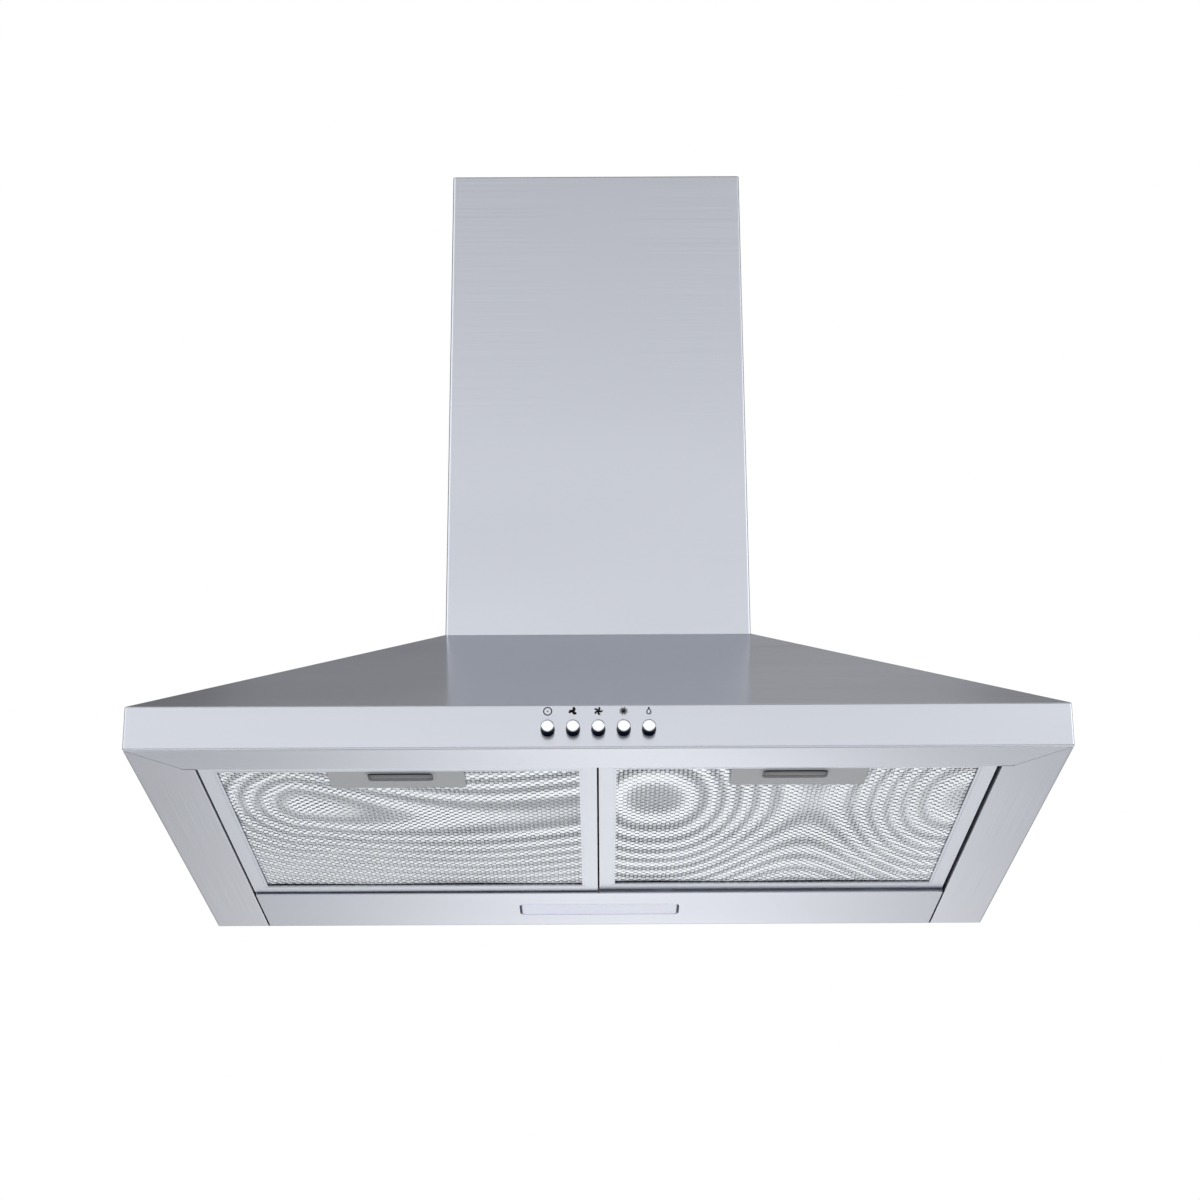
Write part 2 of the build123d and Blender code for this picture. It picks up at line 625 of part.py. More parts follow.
# ---- grease filters -----------------------------------------------------
def filter_window(grow, z0, z1):
    """The filter's window as a cutter, grown on every side."""
    half = FILTER_WIDTH / 2 - FILTER_BAR + grow
    front = FILTER_FRONT + FILTER_FRONT_BAR - grow
    rear = FILTER_REAR - FILTER_REAR_BAR + grow
    return block(-half, half, front, rear, z0, z1)


def filter_frame(side):
    """Folded channel frame of one grease filter: hemmed window, two rear tabs and the tongues' slots."""
    half = FILTER_WIDTH / 2
    low = FILTER_RECESS[side]
    high = low + FILTER_HEIGHT
    wall = FILTER_SHEET
    frame = block(-half, half, FILTER_FRONT, FILTER_REAR, low, high)
    frame = fillet(frame.edges().filter_by(Axis.Z), FILTER_CORNER)
    channel_y = (FILTER_FRONT + wall, FILTER_REAR - wall)
    frame -= block(-half + wall, half - wall, *channel_y, low + wall, high - wall)
    frame -= filter_window(0, low - PAST, high + PAST)
    groove = filter_window(FILTER_HEM + HEM_GROOVE, low - PAST, low + HEM_DEPTH)
    frame -= groove - filter_window(FILTER_HEM, low - PAST, low + HEM_DEPTH)
    slot_y = (FILTER_FRONT - PAST, FILTER_FRONT + wall + MESH_GAP)
    slot_z = (low + ARM_LOW - ARM_ROOM, low + ARM_LOW + ARM_THICK + ARM_ROOM)
    slot_half = ARM_WIDTH / 2 + ARM_ROOM
    for end in (-1, 1):
        tab = end * TAB_OFFSET
        tab_y = (FILTER_REAR - wall / 2, FILTER_REAR + TAB_LENGTH)
        frame += block(tab - TAB_WIDTH / 2, tab + TAB_WIDTH / 2, *tab_y, TAB_Z, TAB_Z + wall)
        arm = slot_offset(side) + end * ARM_OFFSET
        frame -= block(arm - slot_half, arm + slot_half, *slot_y, *slot_z)
    return Pos(FILTER_CENTRES[side], 0, 0) * frame


def slot_offset(side):
    """X of the finger slot's middle, from the filter's middle."""
    return -FILTER_SIDES[side] * SLOT_SHIFT


def latch_ends(side):
    """X of the latch plate's two ends, from the filter's middle."""
    outward = FILTER_SIDES[side]
    middle = slot_offset(side)
    ends = (middle - outward * LATCH_INNER, middle + outward * LATCH_OUTER)
    return (min(ends), max(ends))


def filter_mesh(side):
    """The filter's layers of expanded metal, cut back round the latch box."""
    inset = FILTER_SHEET + MESH_GAP
    half = FILTER_WIDTH / 2 - inset
    front, rear = FILTER_FRONT + inset, FILTER_REAR - inset
    low = FILTER_RECESS[side] + inset
    rise = (FILTER_HEIGHT - 2 * inset - MESH_LAYER_THICK) / (MESH_LAYERS - 1)
    left, right = latch_ends(side)
    room = 2 * MESH_GAP
    latch = block(left - room, right + room, front - PAST, LATCH_REAR + room, 0, low + FILTER_HEIGHT)
    layers = []
    for k in range(MESH_LAYERS):
        z = low + k * rise
        layers.append(block(-half, half, front, rear, z, z + MESH_LAYER_THICK) - latch)
    return group(Pos(FILTER_CENTRES[side], 0, 0) * layer for layer in layers)


def latch_plate(side):
    """Face plate with the rimmed finger slot, folded up into a shallow box for the slider."""
    left, right = latch_ends(side)
    low = FILTER_RECESS[side]
    wall = LATCH_SHEET
    high = low + LATCH_BOX_HEIGHT
    plate = block(left, right, LATCH_FRONT, LATCH_REAR, low, high)
    plate -= block(left + wall, right - wall, LATCH_FRONT - PAST, LATCH_REAR - wall, low + wall, high + PAST)
    slot = RectangleRounded(SLOT_WIDTH, SLOT_DEPTH, SLOT_CORNER)
    rim = RectangleRounded(SLOT_WIDTH + 2 * RIM_WIDTH, SLOT_DEPTH + 2 * RIM_WIDTH, SLOT_CORNER + RIM_WIDTH)
    place = Pos(slot_offset(side), SLOT_MIDDLE, low - RIM_PROUD)
    plate += place * extrude(rim, RIM_PROUD)
    plate -= place * extrude(slot, RIM_PROUD + wall + MESH_GAP)
    return Pos(FILTER_CENTRES[side], 0, 0) * plate


def latch_slider(side):
    """Sprung slider: a finger grip behind the slot and two tongues to the front edge."""
    low = FILTER_RECESS[side]
    front = SLOT_MIDDLE + SLOT_DEPTH / 2 - GRIP_BEFORE
    grip = block(-GRIP_HALF, GRIP_HALF, front, front + GRIP_DEPTH, low + GRIP_LOW, low + GRIP_HIGH)
    top_edge = grip.edges().filter_by(Axis.X).group_by(Axis.Z)[-1].sort_by(Axis.Y)[0]
    slider = fillet(top_edge, GRIP_ROUND)
    arm_y = (OPENING_FRONT + TONGUE_CLEAR, front + GRIP_BEFORE)
    arm_z = (low + ARM_LOW, low + ARM_LOW + ARM_THICK)
    for end in (-1, 1):
        arm = end * ARM_OFFSET
        slider += block(arm - ARM_WIDTH / 2, arm + ARM_WIDTH / 2, *arm_y, *arm_z)
    return Pos(FILTER_CENTRES[side] + slot_offset(side), 0, 0) * slider


# ---- blower -------------------------------------------------------------
def scroll_centres():
    """Centres and radii of the spiral's three quarter arcs."""
    step = SCROLL_STEP
    near, far = FAN_Y - step / 2, FAN_Y + step / 2
    low, high = FAN_Z - step / 2, FAN_Z + step / 2
    return (
        ((near, low), SCROLL_START),
        ((far, low), SCROLL_START + step),
        ((far, high), SCROLL_START + 2 * step),
    )


def rear_wall_y():
    """Y of the housing's straight rear wall, inside."""
    centre, radius = scroll_centres()[2]
    return centre[0] + radius


def scroll_face():
    """Inside of the blower housing: three quarter arcs that grow by one step, then the flared neck."""
    first, second, third = scroll_centres()
    start = arc_middle(*first, 90)
    front = arc_middle(*first, 180)
    low = arc_middle(*second, 270)
    rear = arc_middle(*third, 0)
    arcs = [
        ThreePointArc(start, arc_middle(*first, 135), front),
        ThreePointArc(front, arc_middle(*second, 225), low),
        ThreePointArc(low, arc_middle(*third, 315), rear),
    ]
    neck = Polyline(rear, (rear[0], NECK_TOP), (NECK_FRONT, NECK_TOP), (NECK_FRONT, NECK_FLARE_Z), start)
    return make_face(arcs + [neck])


def lug_places():
    """Centres of the four lugs that hold the housing halves together."""
    reach = FAN_WALL + LUG_RADIUS - LUG_SINK
    lugs = [
        arc_middle(centre, radius + reach, angle)
        for (centre, radius), angle in zip(scroll_centres(), LUG_ANGLES)
    ]
    return lugs + [NECK_LUG]


def is_inlet_rim(edge):
    """True for the inlet's outer rim."""
    at_side = abs(edge.arc_center.X - FAN_HALF) < SCREW_FIT
    return at_side and abs(edge.radius - INLET_RADIUS) < SCREW_FIT


def blower_shell(side):
    """One moulded half of the scroll housing with its inlet lip, neck ear and screw lugs."""
    inner = scroll_face()
    outer = offset(inner, FAN_WALL, kind=Kind.ARC)
    cavity = extrude(Plane.YZ * inner, FAN_HALF)
    shell = extrude(Plane.YZ * outer, FAN_HALF)
    shell -= extrude(Plane.YZ * inner, FAN_HALF - FAN_WALL)
    above_neck = (NECK_TOP, NECK_TOP + FAN_WALL + PAST)
    shell -= block(-PAST, FAN_HALF + PAST, NECK_FRONT - FAN_WALL - PAST, 0, *above_neck)
    shell += block(FAN_HALF - PAST, FLANGE_HALF, *FLANGE_Y, NECK_TOP - FLANGE_THICK, NECK_TOP)
    for y in COLLAR_SCREW_Y:
        shell -= rod_z(SCREW_RADIUS, NECK_TOP - FLANGE_THICK - PAST, NECK_TOP + PAST, COLLAR_SCREW_X, y)
    shell += rod_x(INLET_RADIUS + INLET_LIP, FAN_HALF - FAN_WALL, FAN_HALF, FAN_Y, FAN_Z)
    shell -= rod_x(INLET_RADIUS, 0, FAN_HALF + PAST, FAN_Y, FAN_Z)
    shell = chamfer(shell.edges().filter_by(GeomType.CIRCLE).filter_by(is_inlet_rim), INLET_CHAMFER)
    for y, z in lug_places():
        shell += rod_x(LUG_RADIUS, 0, LUG_LENGTH, y, z) - cavity
        shell -= rod_x(SCREW_RADIUS, -PAST, LUG_LENGTH + PAST, y, z)
    return shell if side > 0 else mirror(shell, Plane.YZ)


def blower_screws():
    """Four screws through the lugs of both halves."""
    return group(screw(LUG_LENGTH, y, z, (-1, 0, 0), 2 * LUG_LENGTH) for y, z in lug_places())


def blower_bracket(side):
    """Angle bracket from the back plate to the side of the blower housing, cut out round the keyhole."""
    inner = FAN_HALF
    outer = FAN_HALF + BLOWER_BRACKET_FOOT
    low, high = BLOWER_BRACKET_Z
    room, below, above = KEYHOLE_ROOM
    foot_front = -SHEET - BRACKET_SHEET
    bracket = block(inner, inner + BRACKET_SHEET, BLOWER_BRACKET_FRONT, -SHEET, low, high)
    bracket += block(inner, outer, foot_front, -SHEET, low, high)
    bracket -= block(inner + room, outer + PAST, foot_front - PAST, 0, KEYHOLE_Z - below, KEYHOLE_Z + above)
    return bracket if side > 0 else mirror(bracket, Plane.YZ)


# ---- wheel and motor ----------------------------------------------------
def blade_outline():
    """One forward-curved blade at the wheel's top: two arcs a blade's thickness apart, closed at the ends."""
    low = WHEEL_BLADE_INNER + BLADE_SINK
    high = WHEEL_RADIUS - BLADE_SINK
    lean = (high - low) * math.tan(math.radians(BLADE_LEAN))
    hollow = RadiusArc((0, low), (-lean, high), -BLADE_HOLLOW)
    back = RadiusArc((-lean - BLADE_THICK, high), (-BLADE_THICK, low), BLADE_HOLLOW)
    return make_face([hollow, Line(hollow @ 1, back @ 0), back, Line(back @ 1, hollow @ 0)])


def on_axle(x, sketch, length):
    """A sketch round the blower's axle, from X on, over a length."""
    return extrude(Plane.YZ.offset(x) * Pos(FAN_Y, FAN_Z) * sketch, length)


def impeller_wheel():
    """Double-inlet squirrel-cage wheel: forward-curved blades, a middle disc and two end rings."""
    turn = 360 / WHEEL_BLADES
    blades = Sketch() + [Rot(0, 0, turn * k) * blade_outline() for k in range(WHEEL_BLADES)]
    ring = Circle(WHEEL_RADIUS) - Circle(WHEEL_BLADE_INNER)
    wheel = on_axle(-WHEEL_HALF, blades, 2 * WHEEL_HALF)
    wheel += on_axle(-WHEEL_HALF, ring, WHEEL_RING)
    wheel += on_axle(WHEEL_HALF - WHEEL_RING, ring, WHEEL_RING)
    return wheel + on_axle(-WHEEL_DISC / 2, Circle(WHEEL_RADIUS) - Circle(HUB_RADIUS), WHEEL_DISC)


def impeller_hub():
    """Pressed hub in the middle of the wheel's disc."""
    return on_axle(-HUB_HALF, Circle(HUB_RADIUS) - Circle(SHAFT_RADIUS), 2 * HUB_HALF)


def motor_shaft():
    """Shaft from the motor's bearing through the hub, with chamfered ends."""
    start = MOTOR_INNER_X - SHAFT_IN_MOTOR
    shaft = on_axle(start, Circle(SHAFT_RADIUS), HUB_HALF + SHAFT_PAST_HUB - start)
    return chamfer(shaft.edges().filter_by(GeomType.CIRCLE), SHAFT_CHAMFER)


def motor_body():
    """Closed motor can turned from one profile: bevelled ends, a bearing boss and cooling grooves."""
    bore = SHAFT_RADIUS + SHAFT_CLEAR
    boss_radius, boss_length = MOTOR_BOSS
    width, depth = MOTOR_GROOVE
    face = MOTOR_INNER_X - boss_length
    bottom = MOTOR_INNER_X - SHAFT_IN_MOTOR - PAST
    profile = [(MOTOR_OUTER_X, 0), (MOTOR_OUTER_X, MOTOR_RADIUS - MOTOR_CHAMFER)]
    profile.append((MOTOR_OUTER_X + MOTOR_CHAMFER, MOTOR_RADIUS))
    for x in MOTOR_GROOVES:
        profile += [(x, MOTOR_RADIUS), (x, MOTOR_RADIUS - depth)]
        profile += [(x + width, MOTOR_RADIUS - depth), (x + width, MOTOR_RADIUS)]
    profile += [(face - MOTOR_CHAMFER, MOTOR_RADIUS), (face, MOTOR_RADIUS - MOTOR_CHAMFER)]
    profile += [(face, boss_radius), (MOTOR_INNER_X, boss_radius), (MOTOR_INNER_X, bore)]
    profile += [(bottom, bore), (bottom, 0)]
    body = revolve(make_face(Polyline(profile, close=True)), Axis.X)
    return Pos(0, FAN_Y, FAN_Z) * body


def spider_feet():
    """Centres of the three feet round the inlet."""
    return [arc_middle((FAN_Y, FAN_Z), SPIDER_REACH, angle) for angle in SPIDER_ANGLES]


def motor_spider():
    """Three-armed carrier that holds the motor in the left inlet."""
    outer = MOTOR_RADIUS + SPIDER_WALL
    arm_length = SPIDER_REACH - MOTOR_RADIUS - PAST
    carrier = Circle(outer)
    for angle in SPIDER_ANGLES:
        arm = Pos(SPIDER_REACH - arm_length / 2, 0) * Rectangle(arm_length, SPIDER_ARM)
        carrier += Rot(0, 0, angle) * (arm + Pos(SPIDER_REACH, 0) * Circle(SPIDER_FOOT))
    carrier -= Circle(MOTOR_RADIUS)
    for angle in SPIDER_ANGLES:
        carrier -= Rot(0, 0, angle) * Pos(SPIDER_REACH, 0) * Circle(SCREW_RADIUS)
    return on_axle(SPIDER_X[0], carrier, SPIDER_X[1] - SPIDER_X[0])


def motor_bushes():
    """Three rubber bushes between the carrier's feet and the housing."""
    start = SPIDER_X[1]
    bushes = []
    for y, z in spider_feet():
        bush = Pos(y, z) * (Circle(BUSH_RADIUS) - Circle(SCREW_RADIUS))
        bushes.append(extrude(Plane.YZ.offset(start) * bush, -FAN_HALF - start))
    return group(bushes)


def motor_screws():
    """Three screws through the carrier's feet and bushes."""
    length = -FAN_HALF - SPIDER_X[0]
    return group(screw(SPIDER_X[0], y, z, (1, 0, 0), length) for y, z in spider_feet())


def inlet_grille():
    """Finger guard of rings and spokes over the right inlet."""
    grille = Circle(INLET_RADIUS + GUARD_RIM[1]) - Circle(INLET_RADIUS + GUARD_RIM[0])
    for radius in GUARD_RINGS:
        grille += Circle(radius) - Circle(radius - GUARD_RING)
    for k in range(3):
        grille += Rot(0, 0, 60 * k) * Rectangle(2 * INLET_RADIUS, GUARD_SPOKE)
    return on_axle(FAN_HALF, grille, GUARD_RING)


# ---- duct outlet and backdraught flaps ----------------------------------
def collar_screw_places():
    """X and Y of the collar's four screws."""
    return [(side * COLLAR_SCREW_X, y) for side in (-1, 1) for y in COLLAR_SCREW_Y]


def flap_stop():
    """The two half rings that the closed flaps rest on."""
    low, high = FLAP_Z - STOP_RING[0], FLAP_Z - STOP_RING[1]
    outer = COLLAR_RADIUS - COLLAR_WALL
    ring = extrude(Circle(outer) - Circle(outer - STOP_WIDTH), high - low)
    gap = block(-outer, outer, -STOP_GAP, STOP_GAP, -PAST, high - low + PAST)
    return Pos(0, COLLAR_Y, low) * (ring - gap)


def outlet_collar():
    """Duct collar on a flat base, with a stop ring for the flaps and holes for their pin."""
    plate_top = NECK_TOP + COLLAR_PLATE_THICK
    inside = COLLAR_RADIUS - COLLAR_WALL
    plate = RectangleRounded(COLLAR_PLATE, COLLAR_PLATE_DEPTH, COLLAR_PLATE_CORNER)
    collar = Pos(0, COLLAR_Y, NECK_TOP) * extrude(plate, COLLAR_PLATE_THICK)
    collar += rod_z(COLLAR_RADIUS, NECK_TOP, COLLAR_TOP, 0, COLLAR_Y)
    collar -= rod_z(inside, plate_top, COLLAR_TOP + PAST, 0, COLLAR_Y)
    collar += flap_stop()
    mouth_half = FAN_HALF - FAN_WALL
    mouth = block(-mouth_half, mouth_half, NECK_FRONT, rear_wall_y(), NECK_TOP - PAST, plate_top + PAST)
    collar -= mouth & rod_z(inside, NECK_TOP - 2 * PAST, plate_top + 2 * PAST, 0, COLLAR_Y)
    collar -= rod_x(FLAP_PIN_RADIUS, -COLLAR_RADIUS - PAST, COLLAR_RADIUS + PAST, COLLAR_Y, FLAP_Z)
    for x, y in collar_screw_places():
        collar -= rod_z(SCREW_RADIUS, NECK_TOP - PAST, plate_top + PAST, x, y)
    return collar


def flap_pin():
    """The pin across the collar that both flaps swing on."""
    half = COLLAR_RADIUS - FLAP_PIN_INSET
    return rod_x(FLAP_PIN_RADIUS, -half, half, COLLAR_Y, FLAP_Z)


def half_flap(side, knuckles):
    """A half-moon flap with its knuckles on the shared pin. Side is -1 for the front, 1 for the rear."""
    low, high = FLAP_Z - FLAP_THICK / 2, FLAP_Z + FLAP_THICK / 2
    edge = COLLAR_Y + side * FLAP_EDGE
    far = COLLAR_Y + side * (FLAP_RADIUS + PAST)
    flap = rod_z(FLAP_RADIUS, low, high, 0, COLLAR_Y)
    flap &= block(-FLAP_RADIUS, FLAP_RADIUS, edge, far, low - PAST, high + PAST)
    for x0, x1 in knuckles:
        flap += block(x0, x1, COLLAR_Y, edge + side * PAST, low, high)
        flap += rod_x(KNUCKLE_RADIUS, x0, x1, COLLAR_Y, FLAP_Z)
    bore = FLAP_PIN_RADIUS + FLAP_PIN_CLEAR
    return flap - rod_x(bore, -FLAP_RADIUS, FLAP_RADIUS, COLLAR_Y, FLAP_Z)


def collar_screws():
    """Four screws down through the collar's base into the ears on the blower's neck."""
    top = NECK_TOP + COLLAR_PLATE_THICK
    length = COLLAR_PLATE_THICK + FLANGE_THICK
    return group(screw(x, y, top, (0, 0, -1), length) for x, y in collar_screw_places())


# ---- chimney ------------------------------------------------------------
def channel_cover(half, front, rear, z0, z1, returns, bend):
    """A three-sided sheet cover with its two returns turned in along the wall."""
    body = block(-half, half, front, rear, z0, z1)
    body = fillet(front_uprights(body), bend)
    hollow = block(-half + SHEET, half - SHEET, front + SHEET, rear - SHEET, z0 - PAST, z1 + PAST)
    hollow = fillet(front_uprights(hollow), bend - SHEET)
    gap_half = half - returns
    return body - hollow - block(-gap_half, gap_half, rear - SHEET - PAST, rear + PAST, z0 - PAST, z1 + PAST)


def chimney_outer():
    """Lower chimney cover that stands on the canopy."""
    half = CHIMNEY_WIDTH / 2
    return channel_cover(half, -CHIMNEY_DEPTH, 0, CANOPY_TOP, CHIMNEY_TOP, OUTER_RETURN, CHIMNEY_BEND)


def chimney_inner():
    """Upper chimney cover that slides up out of the lower one, with louvre slots near its top."""
    cover = channel_cover(INNER_HALF, INNER_FRONT, INNER_REAR, INNER_LOW, INNER_TOP, INNER_RETURN, INNER_BEND)
    start = -INNER_HALF - PAST
    slot = extrude(Plane.YZ * SlotOverall(LOUVRE_LENGTH, LOUVRE_WIDTH), -2 * start)
    for k in range(LOUVRES):
        cover -= Pos(start, COLLAR_Y, LOUVRE_TOP - LOUVRE_PITCH * k) * slot
    return cover - rod_x(SCREW_RADIUS, start, -start, CEILING_SCREW_Y, sum(STRAP_Z) / 2)


def ceiling_bracket():
    """Folded strap that holds the upper chimney's top to the wall."""
    half = INNER_HALF - SHEET
    wall = BRACKET_SHEET
    strap = block(-STRAP_HALF, STRAP_HALF, -wall, 0, *STRAP_Z)
    for side in (-1, 1):
        near, far = side * STRAP_HALF, side * half
        strap += block(near - side * wall, near, -STRAP_STEP, 0, *STRAP_Z)
        strap += block(near, far, -STRAP_STEP, -STRAP_STEP + wall, *STRAP_Z)
        strap += block(far - side * wall, far, -STRAP_ARM, -STRAP_STEP + wall, *STRAP_Z)
        strap -= rod_y(BRACKET_HOLE_RADIUS, -wall - PAST, PAST, side * BRACKET_HOLE_X, sum(STRAP_Z) / 2)
    return strap - rod_x(SCREW_RADIUS, -half - PAST, half + PAST, CEILING_SCREW_Y, sum(STRAP_Z) / 2)


def ceiling_screws():
    """Two flush screws from the sides of the upper chimney into its strap."""
    radius = SCREW_RADIUS - SCREW_FIT
    z = sum(STRAP_Z) / 2
    left = rod_x(radius, -INNER_HALF, -INNER_HALF + CEILING_SCREW_LENGTH, CEILING_SCREW_Y, z)
    return group((left, mirror(left, Plane.YZ)))


# ---- electrical parts ---------------------------------------------------
def terminal_plate(y0, y1, inset):
    """A slab with the terminal box's outline, set in by a distance."""
    x0, x1 = TERMINAL_BOX_X
    z0, z1 = TERMINAL_BOX_Z
    return block(x0 + inset, x1 - inset, y0, y1, z0 + inset, z1 - inset)


def terminal_box():
    """Moulded box for the mains terminals on the back plate, open at the front for its lid."""
    box = terminal_plate(TERMINAL_BOX_FRONT, -SHEET, 0)
    box = chamfer(box.edges().filter_by(Axis.Y), TERMINAL_BOX_CORNER)
    box -= terminal_plate(TERMINAL_BOX_FRONT - PAST, -SHEET - TERMINAL_WALL, TERMINAL_WALL)
    low, high = TERMINAL_BOX_Z
    right = TERMINAL_BOX_X[1]
    box -= rod_z(GROMMET_NECK, high - TERMINAL_WALL - PAST, high + PAST, INLET_X, INLET_Y)
    for x in (MOTOR_LEAD_X, LAMP_LEAD_X):
        box -= rod_z(LEAD_RADIUS, low - PAST, low + TERMINAL_WALL + PAST, x, LEAD_Y)
    return box - rod_x(LOOM_RADIUS, right - TERMINAL_WALL - PAST, right + PAST, LEAD_Y, LOOM_BOX_Z)


def terminal_lid():
    """Lid of the terminal box with a rib that locates it."""
    lid = terminal_plate(TERMINAL_BOX_FRONT - LID_THICK, TERMINAL_BOX_FRONT, 0)
    lid = chamfer(lid.edges().filter_by(Axis.Y), TERMINAL_BOX_CORNER)
    return lid + terminal_plate(TERMINAL_BOX_FRONT, TERMINAL_BOX_FRONT + LID_RIB, TERMINAL_WALL + SEAT)


def cable_grommet():
    """Grommet in the terminal box's top, where a mains lead would enter."""
    high = TERMINAL_BOX_Z[1]
    low = high - TERMINAL_WALL
    ring = rod_z(GROMMET_NECK, low, high, INLET_X, INLET_Y)
    ring += rod_z(GROMMET_FLANGE, high, high + GROMMET_LIP, INLET_X, INLET_Y)
    ring += rod_z(GROMMET_FLANGE, low - GROMMET_LIP, low, INLET_X, INLET_Y)
    return ring - rod_z(GROMMET_BORE, low - 2 * GROMMET_LIP, high + 2 * GROMMET_LIP, INLET_X, INLET_Y)


def capacitor():
    """Motor capacitor, a round can with a bevelled top and two tags."""
    top = CAPACITOR_Z[1]
    width, depth, height = TAG_SIZE
    can = rod_z(CAPACITOR_RADIUS, *CAPACITOR_Z, CAPACITOR_X, LEAD_Y)
    can = chamfer(can.edges().filter_by(GeomType.CIRCLE).sort_by(Axis.Z)[-1:], CAPACITOR_CHAMFER)
    for x in (CAPACITOR_X - TAG_OFFSET, CAPACITOR_X + TAG_OFFSET):
        can += block(x - width / 2, x + width / 2, LEAD_Y - depth / 2, LEAD_Y + depth / 2, top, top + height)
    return can


def capacitor_clip():
    """Sprung strap that holds the capacitor to the back plate."""
    low, high = CLIP_Z
    outer = CAPACITOR_RADIUS + CLIP_WALL
    can = rod_z(CAPACITOR_RADIUS, low - PAST, high + PAST, CAPACITOR_X, LEAD_Y)
    ring = rod_z(outer, low, high, CAPACITOR_X, LEAD_Y)
    ring &= block(CAPACITOR_X - outer, CAPACITOR_X + outer, LEAD_Y - outer, -SHEET, low, high)
    foot = block(CAPACITOR_X, CLIP_FOOT_END, -SHEET - CLIP_WALL, -SHEET, low, high)
    return ring + foot - can


def lead(points, radius, bend):
    """A lead with a few flat sides that follows straight runs with rounded turns."""
    path = FilletPolyline(*points, radius=bend)
    start = Plane(origin=path @ 0, z_dir=path % 0)
    return sweep(start * RegularPolygon(radius, LEAD_SIDES), path=path)


def switch_loom():
    """Loom from the switches, round the right border and up into the terminal box."""
    points = (
        (LOOM_START_X, LOOM_FRONT_Y, LOOM_Z),
        (LOOM_SIDE_X, LOOM_FRONT_Y, LOOM_Z),
        (LOOM_SIDE_X, LEAD_Y, LOOM_Z),
        (LOOM_RETURN_X, LEAD_Y, LOOM_Z),
        (LOOM_RETURN_X, LEAD_Y, LOOM_BOX_Z),
        (TERMINAL_BOX_X[1] - LEAD_IN_BOX, LEAD_Y, LOOM_BOX_Z),
    )
    return lead(points, LOOM_RADIUS, LOOM_BEND)


def loom_clips():
    """Saddle clips that hold the switch loom on the folded borders."""
    half = LOOM_CLIP_HALF
    width = LOOM_CLIP_THICK / 2
    top = LOOM_Z + PAST
    front_y = (LOOM_FRONT_Y - half, LOOM_FRONT_Y + half)
    side_x = (LOOM_SIDE_X - half, LOOM_SIDE_X + half)
    clips = [block(x - width, x + width, *front_y, SHEET, top) for x in LOOM_CLIPS_X]
    clips += [block(*side_x, y - width, y + width, SHEET, top) for y in LOOM_CLIPS_Y]
    front_run = rod_x(LOOM_RADIUS, 0, LOOM_SIDE_X - LOOM_BEND, LOOM_FRONT_Y, LOOM_Z)
    side_run = rod_y(LOOM_RADIUS, LOOM_FRONT_Y + LOOM_BEND, LEAD_Y, LOOM_SIDE_X, LOOM_Z)
    return group(clip - front_run - side_run for clip in clips)


def motor_lead():
    """Lead from the motor's end cap, down the back plate and across to the terminal box."""
    points = (
        (MOTOR_OUTER_X, MOTOR_LEAD_Y, MOTOR_LEAD_Z),
        (MOTOR_LEAD_SIDE_X, MOTOR_LEAD_Y, MOTOR_LEAD_Z),
        (MOTOR_LEAD_SIDE_X, LEAD_Y, 2 * LEAD_LOW_Z),
        (MOTOR_LEAD_SIDE_X, LEAD_Y, LEAD_LOW_Z),
        (MOTOR_LEAD_X, LEAD_Y, LEAD_LOW_Z),
        (MOTOR_LEAD_X, LEAD_Y, TERMINAL_BOX_Z[0] + LEAD_IN_BOX),
    )
    return lead(points, LEAD_RADIUS, LEAD_BEND)


def capacitor_lead():
    """Lead from the capacitor's tags to the motor's end cap."""
    points = (
        (CAPACITOR_X, LEAD_Y, CAPACITOR_Z[1] + TAG_SIZE[2]),
        (CAPACITOR_X, LEAD_Y, CAPACITOR_LEAD_Z),
        (CAPACITOR_X, CAPACITOR_LEAD_Y, CAPACITOR_LEAD_Z),
        (MOTOR_OUTER_X, CAPACITOR_LEAD_Y, CAPACITOR_LEAD_Z),
    )
    return lead(points, LEAD_RADIUS, CAPACITOR_LEAD_BEND)


def lamp_lead():
    """Lead from the lamp box's roof to the terminal box."""
    points = (
        (LAMP_LEAD_START_X, LENS_Y, LAMP_BOX_TOP),
        (LAMP_LEAD_START_X, LENS_Y, LEAD_LOW_Z),
        (LAMP_LEAD_X, LENS_Y, LEAD_LOW_Z),
        (LAMP_LEAD_X, LEAD_Y, LEAD_LOW_Z),
        (LAMP_LEAD_X, LEAD_Y, TERMINAL_BOX_Z[0] + LEAD_IN_BOX),
    )
    return lead(points, LEAD_RADIUS, LEAD_BEND)


